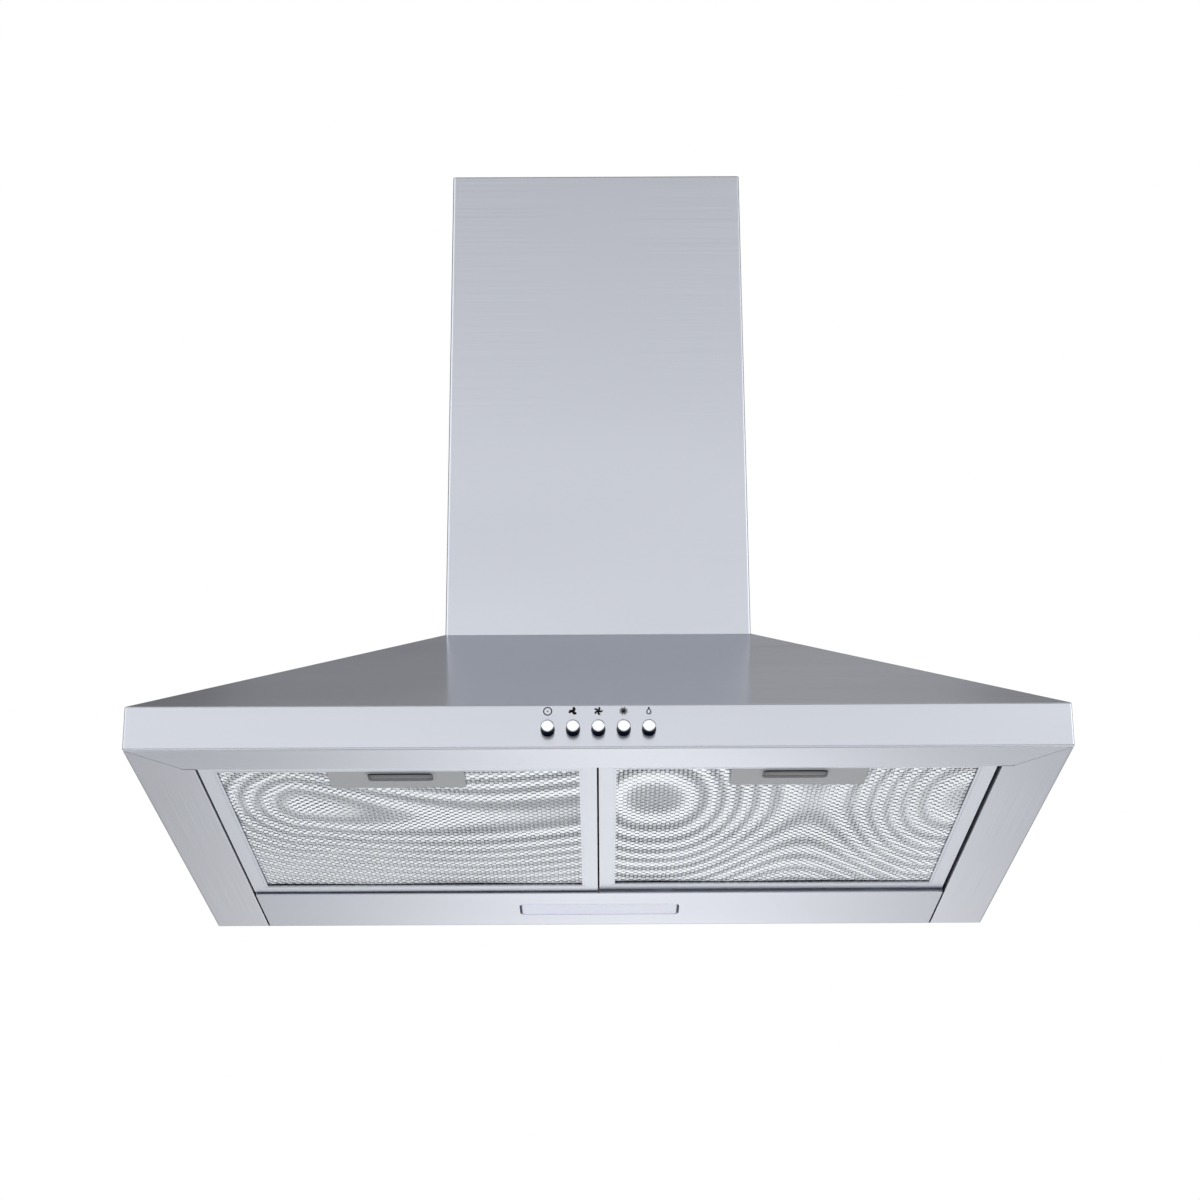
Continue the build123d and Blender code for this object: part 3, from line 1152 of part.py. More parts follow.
def main():
    """Build every sub-part and write it."""
    os.makedirs("parts", exist_ok=True)
    put(canopy_shell(), "canopy_shell")
    put(rear_panel(), "rear_panel")
    put(lamp_panel(), "lamp_panel")
    put(lamp_lens(), "lamp_lens")
    put(lamp_housing(), "lamp_housing")
    put(lamp_board(), "lamp_board")
    put(lamp_screws(), "lamp_screws")
    put(switch_bank(), "switch_bank")
    put(switch_bracket(), "switch_bracket")
    for name, x in zip(BUTTON_NAMES, button_places()):
        put(push_button(x), f"button_{name}")
    for side in FILTER_SIDES:
        put(filter_frame(side), f"filter_frame_{side}")
        put(filter_mesh(side), f"filter_mesh_{side}")
        put(latch_plate(side), f"latch_plate_{side}")
        put(latch_slider(side), f"latch_slider_{side}")
    put(blower_shell(-1), "blower_shell_left")
    put(blower_shell(1), "blower_shell_right")
    put(blower_screws(), "blower_screws")
    put(blower_bracket(-1), "blower_bracket_left")
    put(blower_bracket(1), "blower_bracket_right")
    put(impeller_wheel(), "impeller_wheel")
    put(impeller_hub(), "impeller_hub")
    put(motor_shaft(), "motor_shaft")
    put(motor_body(), "motor_body")
    put(motor_spider(), "motor_spider")
    put(motor_bushes(), "motor_bushes")
    put(motor_screws(), "motor_screws")
    put(inlet_grille(), "inlet_grille_right")
    put(outlet_collar(), "outlet_collar")
    put(flap_pin(), "flap_pin")
    put(half_flap(-1, FRONT_KNUCKLES), "flap_front")
    put(half_flap(1, REAR_KNUCKLES), "flap_rear")
    put(collar_screws(), "collar_screws")
    put(chimney_outer(), "chimney_outer")
    put(chimney_inner(), "chimney_inner")
    put(ceiling_bracket(), "ceiling_bracket")
    put(ceiling_screws(), "ceiling_screws")
    put(terminal_box(), "terminal_box")
    put(terminal_lid(), "terminal_lid")
    put(cable_grommet(), "cable_grommet")
    put(capacitor(), "capacitor")
    put(capacitor_clip(), "capacitor_clip")
    put(switch_loom(), "switch_loom")
    put(loom_clips(), "loom_clips")
    put(motor_lead(), "motor_lead")
    put(capacitor_lead(), "capacitor_lead")
    put(lamp_lead(), "lamp_lead")


main()
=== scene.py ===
"""Looks of the chimney range hood: finishes, fine parts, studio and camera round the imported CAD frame."""

import logging
import math
from dataclasses import dataclass, field
from enum import Enum
from typing import ClassVar

import bpy
import numpy as np
from mathutils import Matrix, Vector
from numpy.typing import NDArray


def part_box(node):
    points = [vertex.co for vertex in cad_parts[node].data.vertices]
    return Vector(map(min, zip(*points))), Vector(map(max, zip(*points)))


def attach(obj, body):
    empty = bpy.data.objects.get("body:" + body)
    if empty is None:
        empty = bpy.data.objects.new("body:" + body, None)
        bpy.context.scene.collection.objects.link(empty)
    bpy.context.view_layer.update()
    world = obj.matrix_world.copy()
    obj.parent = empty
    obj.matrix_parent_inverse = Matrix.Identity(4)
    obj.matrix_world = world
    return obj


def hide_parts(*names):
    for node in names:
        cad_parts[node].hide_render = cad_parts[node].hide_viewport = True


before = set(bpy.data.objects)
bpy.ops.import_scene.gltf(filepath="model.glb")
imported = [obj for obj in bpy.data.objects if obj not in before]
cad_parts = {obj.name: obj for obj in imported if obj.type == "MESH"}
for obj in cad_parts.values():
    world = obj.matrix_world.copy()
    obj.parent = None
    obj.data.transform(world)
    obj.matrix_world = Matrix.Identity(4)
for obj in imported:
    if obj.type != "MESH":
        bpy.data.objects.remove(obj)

FloatArray = NDArray[np.float64]
IntArray = NDArray[np.int64]
Surface = tuple[FloatArray, IntArray]
Colour = tuple[float, float, float]
Place = tuple[float, float, float]
Range = tuple[float, float]
Socket = bpy.types.NodeSocket
Input = Socket | float | tuple[float, ...]

MM = 0.001

log = logging.getLogger("hood")


class Side(Enum):
    """The left or the right of the hood, as seen from the room."""

    LEFT = "left"
    RIGHT = "right"


class Symbol(Enum):
    """The sign printed above a push button."""

    OFF = "off"
    LOW = "low"
    MEDIUM = "medium"
    HIGH = "high"
    LIGHT = "light"


# ---- meshes ----


def grid_quads(rows: int, columns: int, closed: bool = False) -> IntArray:
    """Corners of the quads between the points of a grid.

    Args:
        rows: Number of points along the first parameter.
        columns: Number of points along the second parameter.
        closed: Joins the last column to the first.

    Returns:
        One row of four point numbers for each quad.
    """
    i, j = np.meshgrid(np.arange(rows - 1), np.arange(columns if closed else columns - 1), indexing="ij")
    right = (j + 1) % columns
    corners = [i * columns + j, (i + 1) * columns + j, (i + 1) * columns + right, i * columns + right]
    return np.stack(corners, axis=-1).reshape(-1, 4)


def make_mesh(name: str, points: FloatArray, quads: IntArray, smooth: bool = True) -> bpy.types.Object:
    """A mesh object at the origin whose place is in its points.

    Args:
        name: Name of the piece.
        points: Points in the row frame, in metres.
        quads: Four point numbers for each face.
        smooth: Shades the faces smooth.

    Returns:
        The new object, linked to the scene.
    """
    mesh = bpy.data.meshes.new(name)
    mesh.vertices.add(len(points))
    mesh.vertices.foreach_set("co", np.asarray(points, np.float32).ravel())
    mesh.loops.add(quads.size)
    mesh.loops.foreach_set("vertex_index", np.asarray(quads, np.int32).ravel())
    mesh.polygons.add(len(quads))
    mesh.polygons.foreach_set("loop_start", np.arange(0, quads.size, 4, dtype=np.int32))
    mesh.polygons.foreach_set("use_smooth", np.full(len(quads), smooth))
    mesh.update(calc_edges=True)
    mesh.validate()
    piece = bpy.data.objects.new(name, mesh)
    bpy.context.scene.collection.objects.link(piece)
    return piece


def join_parts(parts: list[Surface]) -> Surface:
    """Puts several point and face arrays together.

    Args:
        parts: Points and quads of each part.

    Returns:
        All points, and all quads counted into them.
    """
    starts = np.cumsum([0] + [len(points) for points, _ in parts[:-1]])
    points = np.concatenate([points for points, _ in parts])
    quads = np.concatenate([quads + start for (_, quads), start in zip(parts, starts)])
    return points, quads


# ---- finishes ----


class Nodes:
    """A node tree under construction, with the steps that the finishes and the room share."""

    def __init__(self, tree: bpy.types.NodeTree) -> None:
        """Empties the tree.

        Args:
            tree: The tree that the nodes go into.
        """
        self.tree = tree
        self.tree.nodes.clear()

    def put(self, socket: Socket, value: Input) -> None:
        """Sets or links one input socket.

        Args:
            socket: The input.
            value: Its value, or the output socket that feeds it.
        """
        if isinstance(value, Socket):
            self.tree.links.new(value, socket)
        else:
            socket.default_value = value

    def node(self, kind: str, inputs: dict[str | int, Input] | None = None,
             **settings: object) -> bpy.types.Node:
        """Adds a node.

        Args:
            kind: Blender's name of the node type.
            inputs: Values or output sockets for its inputs, by socket name or number.
            **settings: Properties of the node.

        Returns:
            The new node.
        """
        made = self.tree.nodes.new(kind)
        for name, value in settings.items():
            setattr(made, name, value)
        for name, value in (inputs or {}).items():
            self.put(made.inputs[name], value)
        return made

    def math(self, a: Input, b: Input = 0.0, operation: str = "ADD") -> Socket:
        """One math step.

        Args:
            a: First value.
            b: Second value, which some operations leave out.
            operation: Blender's name of the operation.

        Returns:
            The result.
        """
        return self.node("ShaderNodeMath", {0: a, 1: b}, operation=operation).outputs[0]

    def axis(self, vector: Socket, name: str) -> Socket:
        """One part of a vector.

        Args:
            vector: The vector.
            name: X, Y or Z.

        Returns:
            That part.
        """
        return self.node("ShaderNodeSeparateXYZ", {0: vector}).outputs[name]

    def scaled(self, vector: Input, share: Input) -> Socket:
        """A vector or colour times a number.

        Args:
            vector: The vector or colour.
            share: The number.

        Returns:
            The product.
        """
        inputs = {0: vector, "Scale": share}
        return self.node("ShaderNodeVectorMath", inputs, operation="SCALE").outputs["Vector"]

    def mixed(self, share: Input, a: Input, b: Input) -> Socket:
        """A vector or colour between two others.

        Args:
            share: 0 for the first and 1 for the second.
            a: The first.
            b: The second.

        Returns:
            The mixture.
        """
        return self.node("ShaderNodeMix", {"Factor": share, 4: a, 5: b}, data_type="VECTOR").outputs[1]

    def ranged(self, value: Input, source: Range, target: Range = (0.0, 1.0), smooth: bool = False) -> Socket:
        """A value carried from one range to another, and held at its ends.

        Args:
            value: The value.
            source: The range that it comes from.
            target: The range that it goes to.
            smooth: Eases in and out of the ends.

        Returns:
            The value in its new range.
        """
        inputs = {"Value": value, "From Min": source[0], "From Max": source[1],
                  "To Min": target[0], "To Max": target[1]}
        kind = "SMOOTHSTEP" if smooth else "LINEAR"
        return self.node("ShaderNodeMapRange", inputs, interpolation_type=kind).outputs["Result"]


class Shader(Nodes):
    """A material under construction: one principled surface and the nodes that feed it."""

    noise_range: Range = (0.3, 0.7)

    def __init__(self, name: str) -> None:
        """Starts a material.

        Args:
            name: Name of the material.
        """
        self.material = bpy.data.materials.new(name)
        self.material.use_nodes = True
        super().__init__(self.material.node_tree)
        self.surface = self.node("ShaderNodeBsdfPrincipled")
        self.node("ShaderNodeOutputMaterial", {"Surface": self.surface.outputs["BSDF"]})

    def feed(self, socket: str, value: Input) -> None:
        """Sets or links one input of the principled surface.

        Args:
            socket: Name of the input.
            value: Its value, or the output socket that feeds it.
        """
        self.put(self.surface.inputs[socket], value)

    def place(self) -> Socket:
        """The point's place.

        Returns:
            The place in the row frame, in metres.
        """
        return self.node("ShaderNodeTexCoord").outputs["Object"]

    def stretched(self, place: Socket, scale: Colour) -> Socket:
        """The place scaled along each axis.

        Args:
            place: The place.
            scale: Factor for each axis.

        Returns:
            The scaled place.
        """
        return self.node("ShaderNodeMapping", {"Vector": place, "Scale": scale}).outputs["Vector"]

    def noise(self, vector: Socket, scale: float, detail: float = 2.0) -> Socket:
        """Soft noise round 0.5, mostly inside noise_range.

        Args:
            vector: Where to read the noise.
            scale: Cells for each unit of length.
            detail: Octaves.

        Returns:
            The noise.
        """
        inputs = {"Vector": vector, "Scale": scale, "Detail": detail}
        return self.node("ShaderNodeTexNoise", inputs).outputs["Fac"]

    def tinted(self, colour: Colour, noise: Socket, shares: Range) -> Socket:
        """A colour whose brightness follows noise.

        Args:
            colour: The colour.
            noise: The noise.
            shares: Share of the brightness at the low and high end of the noise.

        Returns:
            The tinted colour.
        """
        return self.scaled(colour, self.ranged(noise, self.noise_range, shares))

    def wear(self, roughness: Input, noise: Socket, shifts: Range) -> Socket:
        """A roughness that follows noise.

        Args:
            roughness: The mean roughness.
            noise: The noise.
            shifts: What the low and high end of the noise add.

        Returns:
            The roughness.
        """
        return self.math(self.ranged(noise, self.noise_range, shifts), roughness)

    def finished(self, colour: Input, roughness: Input, height: Socket, relief: Range,
                 metallic: float = 0.0) -> bpy.types.Material:
        """Feeds what every finish has.

        Args:
            colour: Base colour.
            roughness: Roughness.
            height: Height of the relief, from 0 to 1.
            relief: Share of the relief that shows, and its depth in metres.
            metallic: 1 for bare metal.

        Returns:
            The finished material.
        """
        bump = self.node("ShaderNodeBump", {"Height": height, "Strength": relief[0], "Distance": relief[1]})
        self.feed("Base Color", colour)
        self.feed("Roughness", roughness)
        self.feed("Metallic", metallic)
        self.feed("Normal", bump.outputs["Normal"])
        return self.material


@dataclass(frozen=True)
class BrushedSteel:
    """Stainless sheet brushed along the length of each panel."""

    name: str = "brushed stainless"
    colour: Colour = (0.785, 0.814, 0.895)
    tone: Range = (0.965, 1.03)
    roughness: float = 0.24
    streak_gloss: Range = (-0.02, 0.02)
    cloud_gloss: Range = (-0.012, 0.012)
    anisotropy: float = 0.86
    streaks_along: float = 5.0
    streaks_across: float = 1400.0
    streak_detail: float = 3.0
    clouds: Colour = (3.0, 8.0, 8.0)
    relief: Range = (0.10, 0.04 * MM)
    # painted shade: share by which the side panels' colour is darkened
    painted_side_shade: float = 0.09
    # painted shade: above this height the steel's colour is darkened into a line along the chimney's top edge
    top_shade_height: float = 0.5692
    painted_top_shade: float = 0.45
    opening_half: float = 0.259
    opening_front: float = -0.4095
    notch: float = 0.008
    mitre_slope: float = 0.805
    under_normal: float = -0.9
    panel_normal: float = 0.4

    def build(self) -> bpy.types.Material:
        """Streaks run along X, or along Y on side panels, and highlights spread across them.

        Side panels and the chimney's top edge are darkened in colour as painted shade.

        Returns:
            The finished material.
        """
        shader = Shader(self.name)
        place = shader.place()
        normal = shader.node("ShaderNodeNewGeometry").outputs["Normal"]
        side = self.side_share(shader, place, normal)
        along, across = self.streaks_along, self.streaks_across
        ahead = shader.stretched(place, (along, across, across))
        aside = shader.stretched(place, (across, along, across))
        streaks = shader.noise(shader.mixed(side, ahead, aside), 1.0, self.streak_detail)
        clouds = shader.noise(shader.stretched(place, self.clouds), 1.0, 1.0)
        # painted shade: the band above the chimney's top edge height
        cut = shader.math(shader.axis(place, "Z"), self.top_shade_height, "GREATER_THAN")
        painted_top_shade = shader.math(cut, self.painted_top_shade, "MULTIPLY")
        # painted shade: darker side panels and a dark band along the chimney's top edge
        shade = shader.math(shader.math(side, self.painted_side_shade, "MULTIPLY"), painted_top_shade)
        tinted = shader.tinted(self.colour, streaks, self.tone)
        colour = shader.scaled(tinted, shader.math(1.0, shade, "SUBTRACT"))
        roughness = shader.wear(self.roughness, clouds, self.cloud_gloss)
        roughness = shader.wear(roughness, streaks, self.streak_gloss)
        shader.feed("Anisotropic", self.anisotropy)
        grain = shader.mixed(side, (1, 0, 0), (0, 1, 0))
        tangent = shader.node("ShaderNodeVectorMath", {0: normal, 1: grain}, operation="CROSS_PRODUCT")
        shader.feed("Tangent", tangent.outputs["Vector"])
        return shader.finished(colour, roughness, streaks, self.relief, metallic=1.0)

    def side_share(self, shader: Shader, place: Socket, normal: Socket) -> Socket:
        """1 on the side panels and their folded borders, and 0 elsewhere.

        With a = max(0, front - y), a border point is on the side where |x| is above half + slope * a,
        plus the notch wherever a is above 0.

        Args:
            shader: The material under construction.
            place: The point's place.
            normal: The surface's normal.

        Returns:
            The share as a socket.
        """
        out = shader.math(shader.axis(place, "X"), operation="ABSOLUTE")
        ahead = shader.math(self.opening_front, shader.axis(place, "Y"), "SUBTRACT")
        ahead = shader.math(ahead, 0.0, "MAXIMUM")
        edge = shader.math(shader.math(ahead, self.mitre_slope, "MULTIPLY"), self.opening_half)
        notch = shader.math(shader.math(ahead, 0.0, "GREATER_THAN"), self.notch, "MULTIPLY")
        border = shader.math(out, shader.math(edge, notch), "GREATER_THAN")
        under = shader.math(shader.axis(normal, "Z"), self.under_normal, "LESS_THAN")
        aside = shader.math(shader.axis(normal, "X"), operation="ABSOLUTE")
        panel = shader.math(aside, self.panel_normal, "GREATER_THAN")
        return shader.math(shader.math(border, under, "MULTIPLY"), panel, "MAXIMUM")


@dataclass(frozen=True)
class CoatedSteel:
    """Galvanised sheet with the spangle of its zinc coat."""

    name: str = "galvanised sheet"
    colour: Colour = (0.62, 0.64, 0.66)
    tone: Range = (0.90, 1.05)
    roughness: float = 0.42
    gloss: Range = (-0.05, 0.05)
    spangle: float = 160.0
    grain: float = 900.0
    relief: Range = (0.08, 0.05 * MM)

    def build(self) -> bpy.types.Material:
        """Voronoi cells a few millimetres across shift tone and gloss.

        Returns:
            The finished material.
        """
        shader = Shader(self.name)
        place = shader.place()
        cells = shader.node("ShaderNodeTexVoronoi", {"Vector": place, "Scale": self.spangle})
        tone = shader.axis(cells.outputs["Color"], "X")
        colour = shader.tinted(self.colour, tone, self.tone)
        roughness = shader.wear(self.roughness, tone, self.gloss)
        return shader.finished(colour, roughness, shader.noise(place, self.grain), self.relief, metallic=1.0)


@dataclass(frozen=True)
class RolledAluminium:
    """Bare rolled aluminium sheet or foil."""

    name: str
    colour: Colour = (0.83, 0.86, 0.93)
    roughness: float = 0.30
    gloss: Range = (-0.01, 0.01)
    marks_along: float = 12.0
    marks_across: float = 700.0
    contrast: float = 0.01
    dents: float = 260.0
    relief: Range = (0.03, 0.04 * MM)

    def build(self) -> bpy.types.Material:
        """Faint rolling marks along Y and small dents.

        Returns:
            The finished material.
        """
        shader = Shader(self.name)
        place = shader.place()
        stretched = shader.stretched(place, (self.marks_across, self.marks_along, self.marks_across))
        marks = shader.noise(stretched, 1.0)
        dents = shader.noise(place, self.dents, 1.0)
        colour = shader.tinted(self.colour, marks, (1 - self.contrast, 1 + self.contrast))
        roughness = shader.wear(self.roughness, dents, self.gloss)
        return shader.finished(colour, roughness, marks, self.relief, metallic=1.0)


@dataclass(frozen=True)
class BrightMetal:
    """Plated or ground metal with light wear."""

    name: str
    colour: Colour
    roughness: float
    tone: Range = (0.97, 1.02)
    gloss: Range = (-0.02, 0.03)
    haze: float = 420.0
    relief: Range = (0.03, 0.02 * MM)

    def build(self) -> bpy.types.Material:
        """Fine haze in the gloss.

        Returns:
            The finished material.
        """
        shader = Shader(self.name)
        haze = shader.noise(shader.place(), self.haze)
        colour = shader.tinted(self.colour, haze, self.tone)
        roughness = shader.wear(self.roughness, haze, self.gloss)
        return shader.finished(colour, roughness, haze, self.relief, metallic=1.0)


@dataclass(frozen=True)
class PlatedCap:
    """A button's cap: a satin face, with its side painted dark as painted shade and painted reflection."""

    name: str = "plated cap"
    face: Colour = (0.90, 0.92, 0.96)
    # painted shade: a dark copy of the plated metal for the cap's side, standing in for its dark reflection
    side: Colour = (0.060, 0.063, 0.075)
    # dark edge tint that dims the side's grazing reflection, part of the same painted shade
    edge: Colour = (0.30, 0.31, 0.34)
    roughness: float = 0.20
    gloss: Range = (-0.02, 0.02)
    face_normal: float = -0.80
    haze: float = 420.0
    relief: Range = (0.02, 0.02 * MM)

    def build(self) -> bpy.types.Material:
        """The face's colour holds where the normal's Y is below that of the face's rim; elsewhere the side
        gets its painted shade.

        Returns:
            The finished material.
        """
        shader = Shader(self.name)
        normal = shader.node("ShaderNodeNewGeometry").outputs["Normal"]
        front = shader.math(shader.axis(normal, "Y"), self.face_normal, "LESS_THAN")
        haze = shader.noise(shader.place(), self.haze)
        # painted shade: the side gets the dark copy of the plated colour
        colour = shader.mixed(front, self.side, self.face)
        roughness = shader.wear(self.roughness, haze, self.gloss)
        shader.feed("Specular Tint", (*self.edge, 1.0))
        return shader.finished(colour, roughness, haze, self.relief, metallic=1.0)


@dataclass(frozen=True)
class Moulded:
    """Moulded plastic or rubber, with the fine texture of its tool."""

    name: str
    colour: Colour
    roughness: float = 0.5
    texture: float = 1500.0
    relief: Range = (0.12, 0.05 * MM)
    specular: float = 0.5
    tone: Range = (0.95, 1.04)
    gloss: Range = (-0.04, 0.04)
    drift: float = 14.0
    # painted shade: above this height the colour darkens, standing for the shadow inside the latch's slot
    shaded_above: float = math.inf
    shade_run: float = 0.5 * MM
    shade_share: float = 0.05

    def build(self) -> bpy.types.Material:
        """A fine even texture and a slow drift of tone, and painted shade above a height where one is given.

        Returns:
            The finished material.
        """
        shader = Shader(self.name)
        place = shader.place()
        drift = shader.noise(place, self.drift)
        colour = shader.tinted(self.colour, drift, self.tone)
        # painted shade: colour darkened above the given height
        if self.shaded_above < math.inf:
            run = (self.shaded_above, self.shaded_above + self.shade_run)
            share = shader.ranged(shader.axis(place, "Z"), run, (1.0, self.shade_share))
            colour = shader.scaled(colour, share)
        roughness = shader.wear(self.roughness, drift, self.gloss)
        shader.feed("Specular IOR Level", self.specular)
        return shader.finished(colour, roughness, shader.noise(place, self.texture), self.relief)


@dataclass(frozen=True)
class Enamel:
    """Stove enamel over sheet or cast metal, with slight orange peel."""

    name: str
    colour: Colour
    tone: Range = (0.98, 1.02)
    roughness: float = 0.28
    coat: float = 0.3
    coat_roughness: float = 0.12
    peel: float = 480.0
    relief: Range = (0.06, 0.1 * MM)

    def build(self) -> bpy.types.Material:
        """Orange peel under a clear coat.

        Returns:
            The finished material.
        """
        shader = Shader(self.name)
        peel = shader.noise(shader.place(), self.peel, 1.0)
        shader.feed("Coat Weight", self.coat)
        shader.feed("Coat Roughness", self.coat_roughness)
        return shader.finished(shader.tinted(self.colour, peel, self.tone), self.roughness, peel, self.relief)


@dataclass(frozen=True)
class FrostedCover:
    """Frosted lamp cover with fine prisms along its length."""

    name: str = "frosted lamp cover"
    colour: Colour = (0.93, 0.94, 1.0)
    tone: Range = (0.97, 1.02)
    # painted light: a faint glow, though the lamp behind the cover is unlit
    painted_glow: Colour = (0.06, 0.07, 0.11)
    roughness: float = 0.32
    scatter: float = 0.25
    scatter_reach: float = 4.0 * MM
    clearness: float = 0.12
    cloud: float = 60.0
    # painted shade: the cover's ends are darkened from this reach outwards
    end_reach: float = 59.1 * MM
    end_run: float = 0.2 * MM
    painted_end_shade: float = 0.06
    prism_pitch: float = 1.6 * MM
    relief: Range = (0.10, 0.08 * MM)

    def build(self) -> bpy.types.Material:
        """Shallow prisms across Y, a little painted glow that stands in for light leaving the cover, and ends
        darkened as painted shade.

        Returns:
            The finished material.
        """
        shader = Shader(self.name)
        place = shader.place()
        turn = shader.math(shader.axis(place, "Y"), 2 * math.pi / self.prism_pitch, "MULTIPLY")
        colour = shader.tinted(self.colour, shader.noise(place, self.cloud), self.tone)
        out = shader.math(shader.axis(place, "X"), operation="ABSOLUTE")
        # painted shade: share of colour and glow left at the cover's ends
        share = shader.ranged(out, (self.end_reach, self.end_reach + self.end_run), (1.0, self.painted_end_shade))
        shader.feed("Subsurface Weight", self.scatter)
        shader.feed("Subsurface Scale", self.scatter_reach)
        shader.feed("Transmission Weight", self.clearness)
        # painted light: the cover emits a little, with no lit lamp behind it
        shader.feed("Emission Color", (*self.painted_glow, 1.0))
        shader.feed("Emission Strength", share)
        prisms = shader.math(turn, operation="SINE")
        return shader.finished(shader.scaled(colour, share), self.roughness, prisms, self.relief)


class Finish(Enum):
    """Every finish of the hood, with the recipe of its material."""

    STEEL = BrushedSteel()
    ZINC_SHEET = CoatedSteel()
    ZINC_BRIGHT = BrightMetal("zinc plated screw", (0.70, 0.71, 0.72), 0.25)
    FRAME_METAL = RolledAluminium("filter frame", roughness=0.39)
    FOIL = RolledAluminium("expanded foil", (0.92, 0.95, 1.0), marks_across=300.0, contrast=0.03,
                           relief=(0.10, 0.04 * MM))
    LATCH = Moulded("latch grey", (0.50, 0.52, 0.54), 0.55)
    # the two sliders differ only in the height of their painted shade
    SLIDER_LEFT = Moulded("left slider grey", (0.80, 0.82, 0.82), shaded_above=5.2 * MM)
    SLIDER_RIGHT = Moulded("right slider grey", (0.80, 0.82, 0.82), shaded_above=6.2 * MM)
    CAP = PlatedCap()
    HOUSING = Moulded("blower moulding", (0.10, 0.10, 0.11), 0.45)
    WHEEL = Moulded("wheel moulding", (0.035, 0.035, 0.04))
    SHAFT = BrightMetal("ground shaft", (0.62, 0.62, 0.64), 0.18)
    MOTOR = Enamel("motor enamel", (0.22, 0.23, 0.25))
    RUBBER = Moulded("black rubber", (0.025, 0.025, 0.025), 0.7, 900.0, (0.2, 0.05 * MM), 0.3)
    SWITCH = Moulded("switch moulding", (0.04, 0.04, 0.04), 0.4)
    COVER = FrostedCover()
    REFLECTOR = Enamel("reflector white", (0.85, 0.85, 0.83))
    BOARD = Moulded("board white", (0.82, 0.82, 0.79), 0.35)
    BOX = Moulded("box white", (0.74, 0.74, 0.71), 0.45)
    CAN = Moulded("capacitor white", (0.78, 0.78, 0.74), 0.35)
    SHEATH = Moulded("lead sheath", (0.20, 0.20, 0.21), 0.55, 700.0, (0.15, 0.05 * MM), 0.4)
    INK = Moulded("printed ink", (0.008, 0.009, 0.012), 0.6, 2000.0, (0.1, 0.05 * MM), 0.2)


Materials = dict[Finish, bpy.types.Material]
Wardrobe = dict[Finish, tuple[str, ...]]


def settle(piece: bpy.types.Object, material: bpy.types.Material, body: str) -> None:
    """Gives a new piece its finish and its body.

    Args:
        piece: The piece.
        material: Its finish.
        body: The CAD body that it moves with.
    """
    piece.data.materials.append(material)
    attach(piece, body)
    log.info("piece %s on %s, %d faces", piece.name, body, len(piece.data.polygons))


# ---- sub-assemblies ----


@dataclass
class Assembly:
    """A sub-assembly whose CAD nodes get their finishes together.

    Attributes:
        materials: The material of each finish.
        wears: Names of the nodes under each finish.
    """

    materials: Materials
    wears: ClassVar[Wardrobe] = {}

    def dress(self) -> None:
        """Gives the sub-assembly's CAD nodes their finishes."""
        for finish, names in self.wears.items():
            for node in (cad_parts[name] for name in names):
                if not node.material_slots:
                    node.data.materials.append(self.materials[finish])
                for slot in node.material_slots:
                    slot.material = self.materials[finish]


class Canopy(Assembly):
    """The folded canopy, its back plate and the lamp panel."""

    wears = {Finish.STEEL: ("canopy_shell", "lamp_panel"), Finish.ZINC_SHEET: ("rear_panel",)}


class Chimney(Assembly):
    """The telescopic chimney cover, its strap and the strap's screws."""

    wears = {
        Finish.STEEL: ("chimney_outer", "chimney_inner"),
        Finish.ZINC_SHEET: ("ceiling_bracket",),
        Finish.ZINC_BRIGHT: ("ceiling_screws",),
    }


